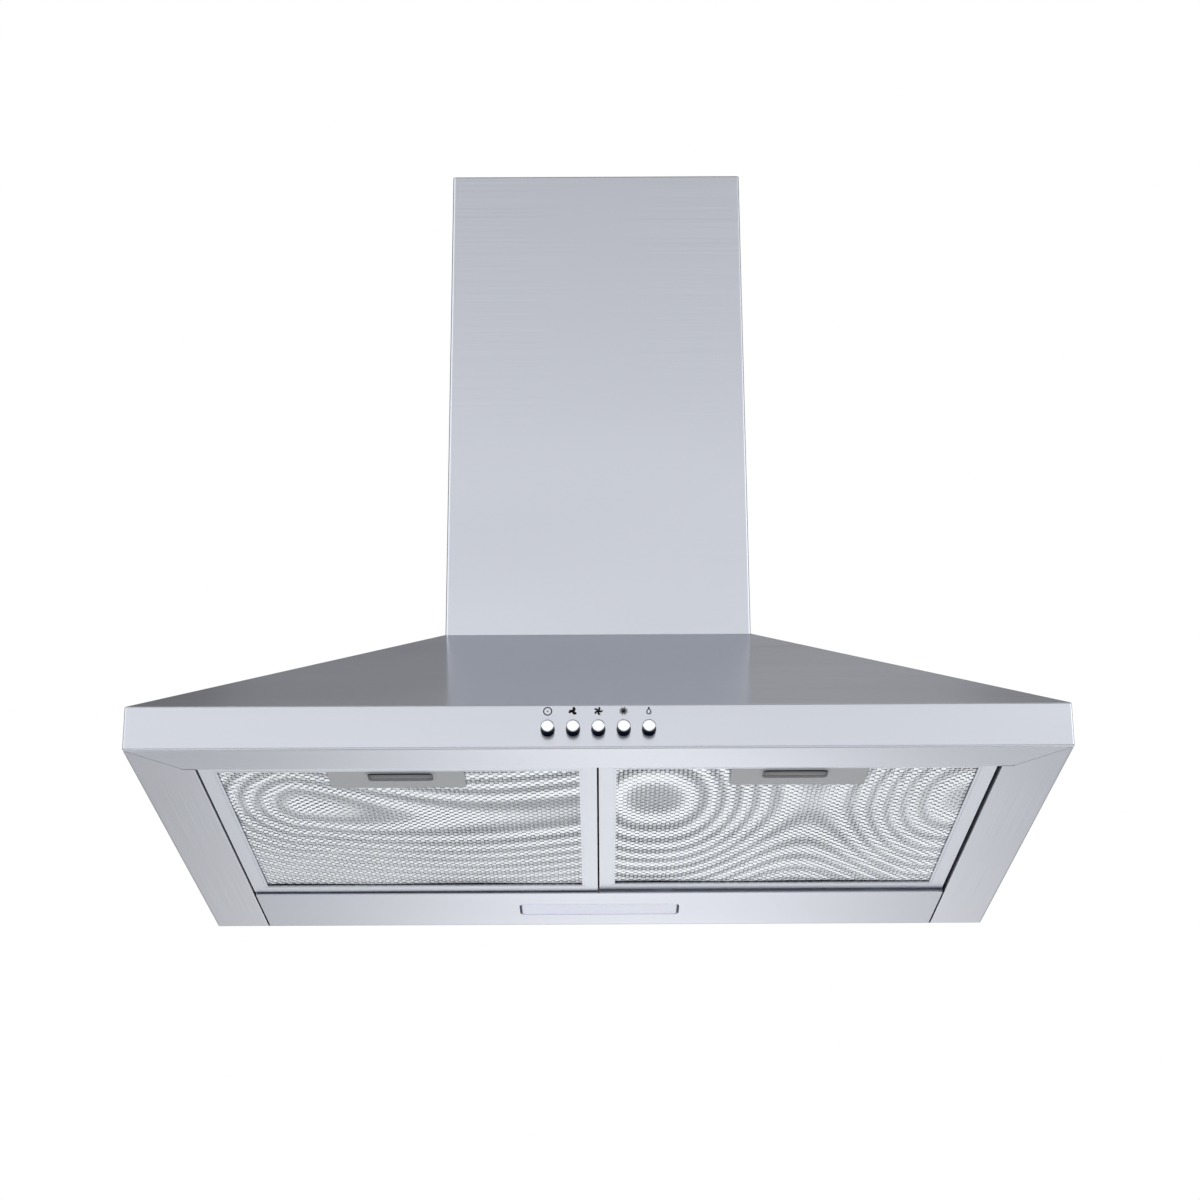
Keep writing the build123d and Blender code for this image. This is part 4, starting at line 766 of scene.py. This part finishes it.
@dataclass
class Controls(Assembly):
    """Push buttons, their printed symbols and the switch bank behind them."""

    wears: ClassVar[Wardrobe] = {
        Finish.CAP: tuple(f"button_{symbol.value}" for symbol in Symbol),
        Finish.SWITCH: ("switch_bank",),
        Finish.ZINC_SHEET: ("switch_bracket",),
    }
    symbol_radius: float = 2.9 * MM
    symbol_rise: float = 12.2 * MM
    ink_lift: float = 0.03 * MM
    line: float = 0.7 * MM
    turns: int = 40
    dot_radius: float = 0.45 * MM
    least_radius: float = 0.001 * MM
    blades: dict[Symbol, int] = field(
        default_factory=lambda: {Symbol.LOW: 3, Symbol.MEDIUM: 5, Symbol.HIGH: 8})
    hub_share: float = 0.42
    blade_root: float = 0.12
    blade_sweep: float = 0.7
    blade_lead: float = 0.95
    blade_width: float = 4.7
    blade_gap: float = 0.3
    blade_start: float = 0.08
    blade_swell: float = 0.80
    blade_round: float = 0.25
    blade_steps: tuple[int, int] = (9, 5)
    bulb_radius: float = 1.65 * MM
    bulb_drop: float = 0.7 * MM
    bulb_draw: float = 0.45
    bulb_pinch: float = 0.35
    bulb_cap_half: float = 0.55 * MM
    bulb_cap_rise: Range = (1.6 * MM, 2.5 * MM)

    def build(self) -> None:
        """Prints one symbol above each button."""
        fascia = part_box("canopy_shell")[0].y
        for symbol in Symbol:
            low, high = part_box(f"button_{symbol.value}")
            height = (low.z + high.z) / 2 + self.symbol_rise
            centre = np.array([(low.x + high.x) / 2, fascia - self.ink_lift, height])
            flat, quads = self.drawing(symbol)
            points = centre + np.stack([flat[:, 0], np.zeros(len(flat)), flat[:, 1]], axis=1)
            piece = make_mesh(f"symbol_{symbol.value}", points, quads, smooth=False)
            settle(piece, self.materials[Finish.INK], "hood")

    def drawing(self, symbol: Symbol) -> Surface:
        """One symbol in the fascia's plane.

        Args:
            symbol: Which sign to draw.

        Returns:
            Two-column points in metres round the symbol's centre, and quads.
        """
        radius = self.symbol_radius
        if symbol is Symbol.OFF:
            dot = self.ring(self.least_radius, self.dot_radius)
            return join_parts([self.ring(radius - self.line, radius), dot])
        if symbol is Symbol.LIGHT:
            return join_parts([self.bulb(), self.bulb_cap()])
        count = self.blades[symbol]
        blades = [self.fan_blade(2 * math.pi * k / count, count) for k in range(count)]
        return join_parts([self.ring(self.least_radius, self.hub_share * radius), *blades])

    def ring(self, inner: float, outer: float) -> Surface:
        """A flat ring: r goes from inner to outer, and the angle goes once round.

        Args:
            inner: Inner radius.
            outer: Outer radius.

        Returns:
            Two-column points and quads.
        """
        angle = np.linspace(0, 2 * np.pi, self.turns, endpoint=False)
        r, a = np.meshgrid([inner, outer], angle, indexing="ij")
        points = np.stack([r * np.cos(a), r * np.sin(a)], axis=-1).reshape(-1, 2)
        return points, grid_quads(2, self.turns, closed=True)

    def fan_blade(self, turn: float, count: int) -> Surface:
        """A curved blade with rounded ends.

        With t from the root to 1 along the blade and s from -0.5 to 0.5 across it, the angle from upright is
        turn + sweep * t - lead + s * w, where w is width / (count + gap) * sin(pi * (swell * t + start)), and
        the radius is that of the symbol times t * (1 - round * s * s).

        Args:
            turn: The blade's turn in radians.
            count: Blades of the fan.

        Returns:
            Two-column points and quads.
        """
        along, across = self.blade_steps
        t, s = np.linspace(self.blade_root, 1.0, along), np.linspace(-0.5, 0.5, across)
        t, s = np.meshgrid(t, s, indexing="ij")
        swell = np.sin(np.pi * np.clip(t * self.blade_swell + self.blade_start, 0, 1))
        width = (self.blade_width / (count + self.blade_gap)) * swell
        angle = np.pi / 2 + turn + self.blade_sweep * t - self.blade_lead + s * width
        radius = self.symbol_radius * t * (1 - self.blade_round * s * s)
        points = np.stack([radius * np.cos(angle), radius * np.sin(angle)], axis=-1).reshape(-1, 2)
        return points, grid_quads(along, across)

    def bulb(self) -> Surface:
        """The outline of a hanging bulb: a circle whose top is drawn out towards its cap.

        With u = max(0, sin(angle)) ** 3, the radius grows by draw * u and x shrinks by pinch * u.

        Returns:
            Two-column points and quads.
        """
        angle = np.linspace(0, 2 * np.pi, self.turns, endpoint=False)
        rise = np.clip(np.sin(angle), 0, 1) ** 3
        outer = self.bulb_radius * (1.0 + self.bulb_draw * rise)
        radius = np.stack([outer - self.line, outer])
        x = radius * np.cos(angle) * (1 - self.bulb_pinch * rise)
        y = radius * np.sin(angle) - self.bulb_drop
        return np.stack([x, y], axis=-1).reshape(-1, 2), grid_quads(2, self.turns, closed=True)

    def bulb_cap(self) -> Surface:
        """The bulb's cap, a small block on its top.

        Returns:
            Two-column points and quads.
        """
        x, y = np.meshgrid([-self.bulb_cap_half, self.bulb_cap_half], self.bulb_cap_rise, indexing="ij")
        return np.stack([x, y], axis=-1).reshape(-1, 2), grid_quads(2, 2)


@dataclass(frozen=True)
class Rumple:
    """Rumples of a filter's foil: waves round a peak, whose crests the bars of the foil follow."""

    peak_x: float
    peak_y: float
    start: float
    gain: float
    faint: float = 1.0
    strong: float = 1.0
    strong_y: float = 0.0
    strong_reach: float = 1.0

    def hill(self, p: FloatArray, q: FloatArray) -> FloatArray:
        """The number of waves: start + gain * (sqrt(1 + p * p + q * q) - 1).

        Args:
            p: Distance across from the peak, bent as the hill needs.
            q: Distance along from the peak, bent as the hill needs.

        Returns:
            One number for each place.
        """
        return self.start + self.gain * (np.sqrt(1 + p * p + q * q) - 1)

    def strength(self, y: FloatArray) -> FloatArray:
        """How strongly the waves show: faint + (strong - faint) * exp(-((y - strong_y) / reach) ** 2).

        Args:
            y: Places along the hood's depth.

        Returns:
            One share for each place.
        """
        near = np.exp(-(((y - self.strong_y) / self.strong_reach) ** 2))
        return self.faint + (self.strong - self.faint) * near


@dataclass(frozen=True)
class LeftRumple(Rumple):
    """Rumples with a steep outer side and a bent crest, which show less towards the rear."""

    peak_x: float = -0.200
    peak_y: float = -0.318
    start: float = 0.0
    gain: float = 2.86
    rise: float = 1.05
    run: float = 0.075
    outer_run: float = 0.026
    sag: float = 0.034
    sag_run: float = 0.22
    depth: float = 0.049
    faint: float = 0.40
    strong: float = 1.30
    strong_y: float = -0.312
    strong_reach: float = 0.110

    def waves(self, x: FloatArray, y: FloatArray) -> FloatArray:
        """The left filter's hill at the distances u and v from its peak.

        p is rise * tanh(u / run), or u / outer_run outside. q is (v - sag * sin(pi * u / sag_run)) / depth.

        Args:
            x: Places across the hood.
            y: Places along its depth.

        Returns:
            The number of waves at each place.
        """
        u, v = x - self.peak_x, y - self.peak_y
        p = np.where(u > 0, self.rise * np.tanh(u / self.run), u / self.outer_run)
        sag = self.sag * np.sin(np.pi * np.clip(u / self.sag_run, 0, 1))
        return self.hill(p, (v - sag) / self.depth)


@dataclass(frozen=True)
class RightRumple(Rumple):
    """Rumples that come down again at the outer end, and show evenly."""

    peak_x: float = 0.038
    peak_y: float = -0.324
    start: float = 0.5
    gain: float = 6.4
    rise: float = 1.62
    run: float = 0.107
    power: float = 1.35
    depth: float = 0.120

    def waves(self, x: FloatArray, y: FloatArray) -> FloatArray:
        """The right filter's hill at the distances u and v from its peak.

        p is rise * abs(sin(pi / 2 * u / run)) ** power, and q is v / depth.

        Args:
            x: Places across the hood.
            y: Places along its depth.

        Returns:
            The number of waves at each place.
        """
        u, v = x - self.peak_x, y - self.peak_y
        p = self.rise * np.abs(np.sin(np.pi / 2 * u / self.run)) ** self.power
        return self.hill(p, v / self.depth)


@dataclass(frozen=True)
class Strands:
    """The bars of one foil layer.

    Attributes:
        start: First end of each bar.
        end: Second end of each bar.
        turned: 0 for a bond, and -0.5 or 0.5 for a strand that runs to the left or to the right.
    """

    start: FloatArray
    end: FloatArray
    turned: FloatArray

    def middle(self) -> tuple[FloatArray, FloatArray]:
        """Where the bars are.

        Returns:
            X and Y of the middle of each bar.
        """
        middle = (self.start + self.end) / 2
        return middle[:, 0], middle[:, 1]

    def within(self, low: Vector, high: Vector, pocket: Place) -> "Strands":
        """The bars whose middle is inside the pack and outside the latch's room.

        Args:
            low: Lowest corner of the pack.
            high: Highest corner of the pack.
            pocket: Lowest x, highest x and highest y of the room left for the latch.

        Returns:
            The bars that stay.
        """
        x, y = self.middle()
        inside = (x > low.x) & (x < high.x) & (y > low.y) & (y < high.y)
        keep = inside & ~((x > pocket[0]) & (x < pocket[1]) & (y < pocket[2]))
        return Strands(self.start[keep], self.end[keep], self.turned[keep])


@dataclass
class GreaseFilter(Assembly):
    """One hinged grease filter: frame, layers of expanded foil and its latch."""

    side: Side
    layers: int = 6
    rumpled_layers: int = 3
    pack_margin: float = 0.6 * MM
    latch_gap: float = 0.4 * MM
    pitch_across: float = 6.0 * MM
    pitch_along: float = 8.0 * MM
    pitch_growth: float = 0.03
    layer_slip: float = 0.37
    rumpled_shift: float = 0.25
    upper_shift: float = 0.5
    bond_share: float = 0.62
    wave_height: float = 0.25 * MM
    waves_across: float = 47.0
    waves_along: float = 39.0
    strand_width: float = 1.1 * MM
    bond_width: float = 2.4 * MM
    width_swing: float = 0.30
    strand_thick: float = 0.16 * MM
    strand_tilt: float = 9.0
    tilt_swing: float = 8.5
    bond_tilt_share: float = 0.9
    upper_tilt: float = 8.0
    bow: float = 42.0

    def build(self) -> None:
        """Builds the foil layers in place of the plain sheets."""
        node = f"filter_mesh_{self.side.value}"
        low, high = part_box(node)
        latch_low, latch_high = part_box(f"latch_plate_{self.side.value}")
        pocket = (latch_low.x - self.latch_gap, latch_high.x + self.latch_gap, latch_high.y + self.latch_gap)
        rise = np.linspace(low.z + self.pack_margin, high.z - self.pack_margin, self.layers)
        for layer, z in enumerate(rise.tolist()):
            strands = self.lattice(layer, low, high, z).within(low, high, pocket)
            points, quads = self.bars(strands, *self.lie(layer, strands))
            points = np.clip(points, np.array(low), np.array(high))
            piece = make_mesh(f"foil_{self.side.value}_{layer + 1}", points, quads, smooth=False)
            settle(piece, self.materials[Finish.FOIL], f"{self.side.value}_filter")
            if layer == 0:
                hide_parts(node)

    def lattice(self, layer: int, low: Vector, high: Vector, z: float) -> Strands:
        """Bars of one foil layer over the whole pack.

        Bonds are short bars along Y on two staggered lattices. From the rear end of each bond two strands
        run to the front ends of the next ones, half a cell to either side. The layer's height is
        z + wave_height * sin(waves_across * x + layer) * sin(waves_along * y + 2 * layer).

        Args:
            layer: Number of the layer, from 0 at the bottom.
            low: Lowest corner of the pack.
            high: Highest corner of the pack.
            z: Height of the layer's middle.

        Returns:
            The bars, some of which reach past the pack.
        """
        a, b = self.pitch_across, self.pitch_along * (1 + self.pitch_growth * layer)
        columns = int((high.x - low.x) / a) + 2
        rows = int((high.y - low.y) / (b / 2)) + 3
        i, j = np.meshgrid(np.arange(columns), np.arange(rows), indexing="ij")
        shift = self.rumpled_shift if layer < self.rumpled_layers else self.upper_shift
        slip = (self.layer_slip * layer) % 1.0
        across = low.x + (i - shift + 0.5 * (j % 2)) * a
        along = low.y + (j - 1 - slip) * b / 2
        front = np.stack([across, along, np.full(i.shape, z)], axis=-1).reshape(-1, 3)
        rear = front + np.array([0.0, self.bond_share * b, 0.0])
        count = len(front)
        turned = np.repeat([0.0, -0.5, 0.5], count)
        start = np.concatenate([front, rear, rear])
        end = np.concatenate([rear, front, front])
        end[count:, 0] += turned[count:] * a
        end[count:, 1] += b / 2
        for ends in (start, end):
            ends[:, 2] += (self.wave_height * np.sin(ends[:, 0] * self.waves_across + layer)
                           * np.sin(ends[:, 1] * self.waves_along + 2 * layer))
        return Strands(start, end, turned)

    def lie(self, layer: int, strands: Strands) -> tuple[FloatArray, FloatArray]:
        """How wide the bars are and how they lie.

        A bar is turned about its length by the tilt, bonds outwards and strands each to their own side. The
        bow of the foil turns it further by so many degrees for each metre from the hood's middle. The
        rumples make the bars of the lowest layers wider and flatter along their crests.

        Args:
            layer: Number of the layer, from 0 at the bottom.
            strands: The bars.

        Returns:
            Width of each bar in metres, and its turn in degrees.
        """
        x, y = strands.middle()
        bond = strands.turned == 0
        crest, tilt = np.zeros(len(x)), np.full(len(x), self.upper_tilt)
        if layer < self.rumpled_layers:
            rumple = LeftRumple() if self.side is Side.LEFT else RightRumple()
            crest = np.cos(2 * np.pi * rumple.waves(x, y)) * rumple.strength(y)
            tilt = self.strand_tilt - self.tilt_swing * crest
        width = np.where(bond, self.bond_width, self.strand_width) * (1 + self.width_swing * crest)
        outward = 1 if self.side is Side.RIGHT else -1
        turn = np.where(bond, self.bond_tilt_share * outward, 2 * strands.turned) * tilt - self.bow * x
        return width, turn

    def bars(self, strands: Strands, width: FloatArray, turn: FloatArray) -> Surface:
        """Flat four-sided bars: each corner is an end of the bar plus or minus half its width and thickness.

        Args:
            strands: The bars.
            width: Width of each bar in metres.
            turn: How far each bar is turned about its length, in degrees.

        Returns:
            Points and quads of the bars.
        """
        start, end = strands.start, strands.end
        along = end - start
        along /= np.linalg.norm(along, axis=1, keepdims=True)
        up = np.array([0.0, 0.0, 1.0])
        flat = np.cross(along, up)
        flat /= np.linalg.norm(flat, axis=1, keepdims=True)
        tilt = np.radians(turn)[:, None]
        wide = flat * np.cos(tilt) + up * np.sin(tilt)
        thick = np.cross(along, wide)
        half_wide, half_thick = wide * width[:, None] / 2, thick * self.strand_thick / 2
        corners = [half_wide + half_thick, half_thick - half_wide,
                   -half_wide - half_thick, half_wide - half_thick]
        rings = np.stack([start + c for c in corners] + [end + c for c in corners], axis=1)
        sides = np.array([[0, 1, 5, 4], [1, 2, 6, 5], [2, 3, 7, 6], [3, 0, 4, 7]])
        quads = (np.arange(len(start)) * 8)[:, None, None] + sides[None]
        return rings.reshape(-1, 3), quads.reshape(-1, 4)

    @property
    def wears(self) -> Wardrobe:
        """Names of the frame's and the latch's nodes under each finish."""
        side = self.side.value
        slider = Finish.SLIDER_LEFT if self.side is Side.LEFT else Finish.SLIDER_RIGHT
        return {
            Finish.FRAME_METAL: (f"filter_frame_{side}",),
            Finish.LATCH: (f"latch_plate_{side}",),
            slider: (f"latch_slider_{side}",),
        }


class Lamp(Assembly):
    """The lamp's cover, box, board and screws."""

    wears = {
        Finish.COVER: ("lamp_lens",),
        Finish.REFLECTOR: ("lamp_housing",),
        Finish.BOARD: ("lamp_board",),
        Finish.ZINC_BRIGHT: ("lamp_screws",),
    }


class Blower(Assembly):
    """The scroll housing, its wheel and its motor."""

    wears = {
        Finish.HOUSING: ("blower_shell_left", "blower_shell_right", "inlet_grille_right"),
        Finish.ZINC_SHEET: ("blower_bracket_left", "blower_bracket_right", "motor_spider"),
        Finish.ZINC_BRIGHT: ("blower_screws", "motor_screws"),
        Finish.WHEEL: ("impeller_wheel", "impeller_hub"),
        Finish.SHAFT: ("motor_shaft",),
        Finish.MOTOR: ("motor_body",),
        Finish.RUBBER: ("motor_bushes",),
    }


class Outlet(Assembly):
    """The duct collar with its two backdraught flaps and their pin."""

    wears = {
        Finish.HOUSING: ("outlet_collar", "flap_front", "flap_rear"),
        Finish.ZINC_BRIGHT: ("collar_screws",),
        Finish.SHAFT: ("flap_pin",),
    }


class Electrics(Assembly):
    """Terminal box, capacitor and leads."""

    wears = {
        Finish.BOX: ("terminal_box", "terminal_lid", "loom_clips"),
        Finish.RUBBER: ("cable_grommet",),
        Finish.CAN: ("capacitor",),
        Finish.ZINC_SHEET: ("capacitor_clip",),
        Finish.SHEATH: ("switch_loom", "motor_lead", "capacitor_lead", "lamp_lead"),
    }


# ---- studio ----


@dataclass(frozen=True)
class Softbox:
    """A square area light that faces the hood: its edge is in metres and its power in watts."""

    name: str
    place: Place
    size: float
    power: float
    target: Place = (0.0, -0.2, 0.2)

    def build(self) -> None:
        """Hangs the light."""
        data = bpy.data.lights.new(self.name, "AREA")
        data.shape = "SQUARE"
        data.size = self.size
        data.energy = self.power
        light = bpy.data.objects.new(self.name, data)
        place = Vector(self.place)
        turn = (Vector(self.target) - place).to_track_quat("-Z", "Y").to_matrix().to_4x4()
        light.matrix_world = Matrix.Translation(place) @ turn
        bpy.context.scene.collection.objects.link(light)


@dataclass
class Studio:
    """Camera, floor, soft lights and the room that the metal reflects."""

    camera_place: Place = (0.0008, -2.0477, -0.5161)
    pitch: float = 21.087
    yaw: float = 0.023
    roll: float = -0.276
    lens: float = 79.94
    sensor_width: float = 36.0
    floor_centre: Place = (0.0, -0.2, -2.2)
    floor_radius: float = 3.4
    floor_steps: tuple[int, int] = (24, 96)
    floor_colour: Colour = (0.86, 0.86, 0.86)
    floor_tone: Range = (0.99, 1.01)
    floor_grain: float = 6.0
    floor_roughness: float = 0.7
    floor_fade: Range = (0.45, 0.95)
    softboxes: tuple[Softbox, ...] = (
        Softbox("key softbox", (-1.7, -1.6, 1.9), 2.4, 10.0),
        Softbox("fill softbox", (2.1, -1.3, 0.9), 1.6, 7.0),
        Softbox("low softbox", (0.0, -1.4, -1.9), 1.8, 5.0),
        Softbox("left low softbox", (-1.3, 0.8, -1.1), 1.6, 5.5),
        Softbox("right low softbox", (1.3, 0.8, -1.1), 1.6, 7.0),
        Softbox("rear softbox", (0.0, 1.2, 2.8), 1.4, 1.5),
    )

    def build(self) -> None:
        """Sets up the whole studio."""
        self.build_camera()
        self.build_room()
        self.build_floor()
        for softbox in self.softboxes:
            softbox.build()
        bpy.context.scene.view_settings.view_transform = "Standard"

    def build_camera(self) -> None:
        """Places the camera at the photograph's point of view."""
        pitch, yaw, roll = (math.radians(angle) for angle in (self.pitch, self.yaw, self.roll))
        forward = Vector((math.sin(yaw) * math.cos(pitch), math.cos(yaw) * math.cos(pitch), math.sin(pitch)))
        level = Vector((math.cos(yaw), -math.sin(yaw), 0.0))
        upright = level.cross(forward)
        right = level * math.cos(roll) + upright * math.sin(roll)
        up = upright * math.cos(roll) - level * math.sin(roll)
        data = bpy.data.cameras.new("camera")
        data.lens = self.lens
        data.sensor_width = self.sensor_width
        camera = bpy.data.objects.new("camera", data)
        turn = Matrix((right, up, -forward)).transposed().to_4x4()
        camera.matrix_world = Matrix.Translation(Vector(self.camera_place)) @ turn
        bpy.context.scene.collection.objects.link(camera)
        bpy.context.scene.camera = camera

    def build_floor(self) -> None:
        """A pale round floor that fades out into the white background.

        A point is at radius r and angle a round the floor's centre, with r up to the floor's radius.
        """
        rings, turns = self.floor_steps
        radius = np.linspace(MM, self.floor_radius, rings)
        r, a = np.meshgrid(radius, np.linspace(0, 2 * np.pi, turns, endpoint=False), indexing="ij")
        x, y, z = self.floor_centre
        points = np.stack([r * np.cos(a) + x, r * np.sin(a) + y, np.full(r.shape, z)], axis=-1)
        floor = make_mesh("floor", points.reshape(-1, 3), grid_quads(rings, turns, closed=True))
        shader = Shader("pale floor")
        place = shader.place()
        grain = shader.noise(place, self.floor_grain, 3.0)
        shader.feed("Base Color", shader.tinted(self.floor_colour, grain, self.floor_tone))
        shader.feed("Roughness", self.floor_roughness)
        flat = shader.stretched(place, (1.0, 1.0, 0.0))
        reach = shader.node("ShaderNodeVectorMath", {0: flat}, operation="LENGTH").outputs["Value"]
        start, stop = (share * self.floor_radius for share in self.floor_fade)
        shader.feed("Alpha", shader.ranged(reach, (start, stop), (1.0, 0.0), smooth=True))
        floor.data.materials.append(shader.material)

    def build_room(self) -> None:
        """The room round the hood, by direction."""
        world = bpy.data.worlds.new("room")
        bpy.context.scene.world = world
        world.use_nodes = True
        RoomShader(world.node_tree).build()


class RoomShader(Nodes):
    """The room that the metal reflects, a brightness for each direction, and plain white for the camera.

    In front the room is bright at eye level and dims upwards. Behind it is dim above, most on the left, and
    has a bright card low down in the middle. Tones are pairs of the sine of the elevation and a brightness.
    """

    front_tones: tuple[Range, ...] = (
        (-1.0, 0.45), (-0.55, 0.35), (0.05, 0.64), (0.28, 1.10),
        (0.37, 1.38), (0.50, 0.17), (0.63, 0.38), (1.0, 0.38),
    )
    rear_tones: tuple[Range, ...] = (
        (-1.0, 0.50), (-0.6, 0.60), (-0.25, 0.30), (0.1, 0.48),
        (0.35, 0.36), (0.62, 0.17), (1.0, 0.44),
    )
    rear_run: Range = (-0.3, 0.3)
    left_run: Range = (0.04, -0.08)
    upper_run: Range = (0.05, 0.25)
    dim_share: float = 0.58
    card_side: float = 0.012
    card_width: float = 0.12
    card_height: float = -0.27
    card_spread: float = 0.22
    card_gain: float = 1.05

    def tones(self, height: Socket, stops: tuple[Range, ...]) -> Socket:
        """Brightness by height of the direction, smooth between its stops.

        Args:
            height: Sine of the elevation, from -1 to 1.
            stops: Pairs of height and brightness.

        Returns:
            The brightness.
        """
        ramp = self.node("ShaderNodeValToRGB", {"Fac": self.ranged(height, (-1.0, 1.0))})
        ramp.color_ramp.interpolation = "EASE"
        elements = ramp.color_ramp.elements
        while len(elements) < len(stops):
            elements.new(0.5)
        for element, (place, tone) in zip(elements, stops):
            element.position = (place + 1) / 2
            element.color = (tone, tone, tone, 1.0)
        return ramp.outputs["Color"]

    def bell(self, value: Socket, centre: float, width: float) -> Socket:
        """A bell curve: exp(-((value - centre) / width) ** 2).

        Args:
            value: The value.
            centre: Where the bell is 1.
            width: How far it reaches.

        Returns:
            The bell's height.
        """
        offset = self.math(self.math(value, centre, "SUBTRACT"), width, "DIVIDE")
        square = self.math(offset, offset, "MULTIPLY")
        return self.math(self.math(square, -1.0, "MULTIPLY"), operation="EXPONENT")

    def build(self) -> None:
        """Links the room to the world's output."""
        direction = self.node("ShaderNodeTexCoord").outputs["Generated"]
        x, y, z = (self.axis(direction, name) for name in "XYZ")
        behind = self.ranged(y, self.rear_run, smooth=True)
        leftward = self.ranged(x, self.left_run, smooth=True)
        upward = self.ranged(z, self.upper_run, smooth=True)
        corner = self.math(leftward, upward, "MULTIPLY")
        dim = self.math(self.math(corner, self.dim_share - 1, "MULTIPLY"), 1.0)
        rear = self.scaled(self.tones(z, self.rear_tones), dim)
        both = self.mixed(behind, self.tones(z, self.front_tones), rear)
        card = self.math(self.bell(x, self.card_side, self.card_width),
                         self.bell(z, self.card_height, self.card_spread), "MULTIPLY")
        card = self.math(self.math(card, behind, "MULTIPLY"), self.card_gain, "MULTIPLY")
        lit = self.node("ShaderNodeVectorMath", {0: both, 1: card}, operation="ADD").outputs["Vector"]
        seen = self.node("ShaderNodeLightPath").outputs["Is Camera Ray"]
        room = self.node("ShaderNodeBackground", {"Color": lit, "Strength": 1.0})
        white = self.node("ShaderNodeBackground", {"Color": (1, 1, 1, 1), "Strength": 1.0})
        mixed = self.node("ShaderNodeMixShader", {0: seen, 1: room.outputs[0], 2: white.outputs[0]})
        self.node("ShaderNodeOutputWorld", {"Surface": mixed.outputs[0]})


def main() -> None:
    """Builds the studio and dresses each sub-assembly in order."""
    logging.basicConfig(level=logging.INFO, format="%(name)s: %(message)s")
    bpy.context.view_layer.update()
    Studio().build()
    materials = {finish: finish.value.build() for finish in Finish}
    controls = Controls(materials)
    controls.build()
    filters = [GreaseFilter(materials, side) for side in Side]
    for grease_filter in filters:
        grease_filter.build()
    assemblies = [Canopy(materials), Chimney(materials), controls, *filters, Lamp(materials),
                  Blower(materials), Outlet(materials), Electrics(materials)]
    for assembly in assemblies:
        assembly.dress()
        log.info("dressed %s", type(assembly).__name__)


if __name__ == "__main__":
    main()
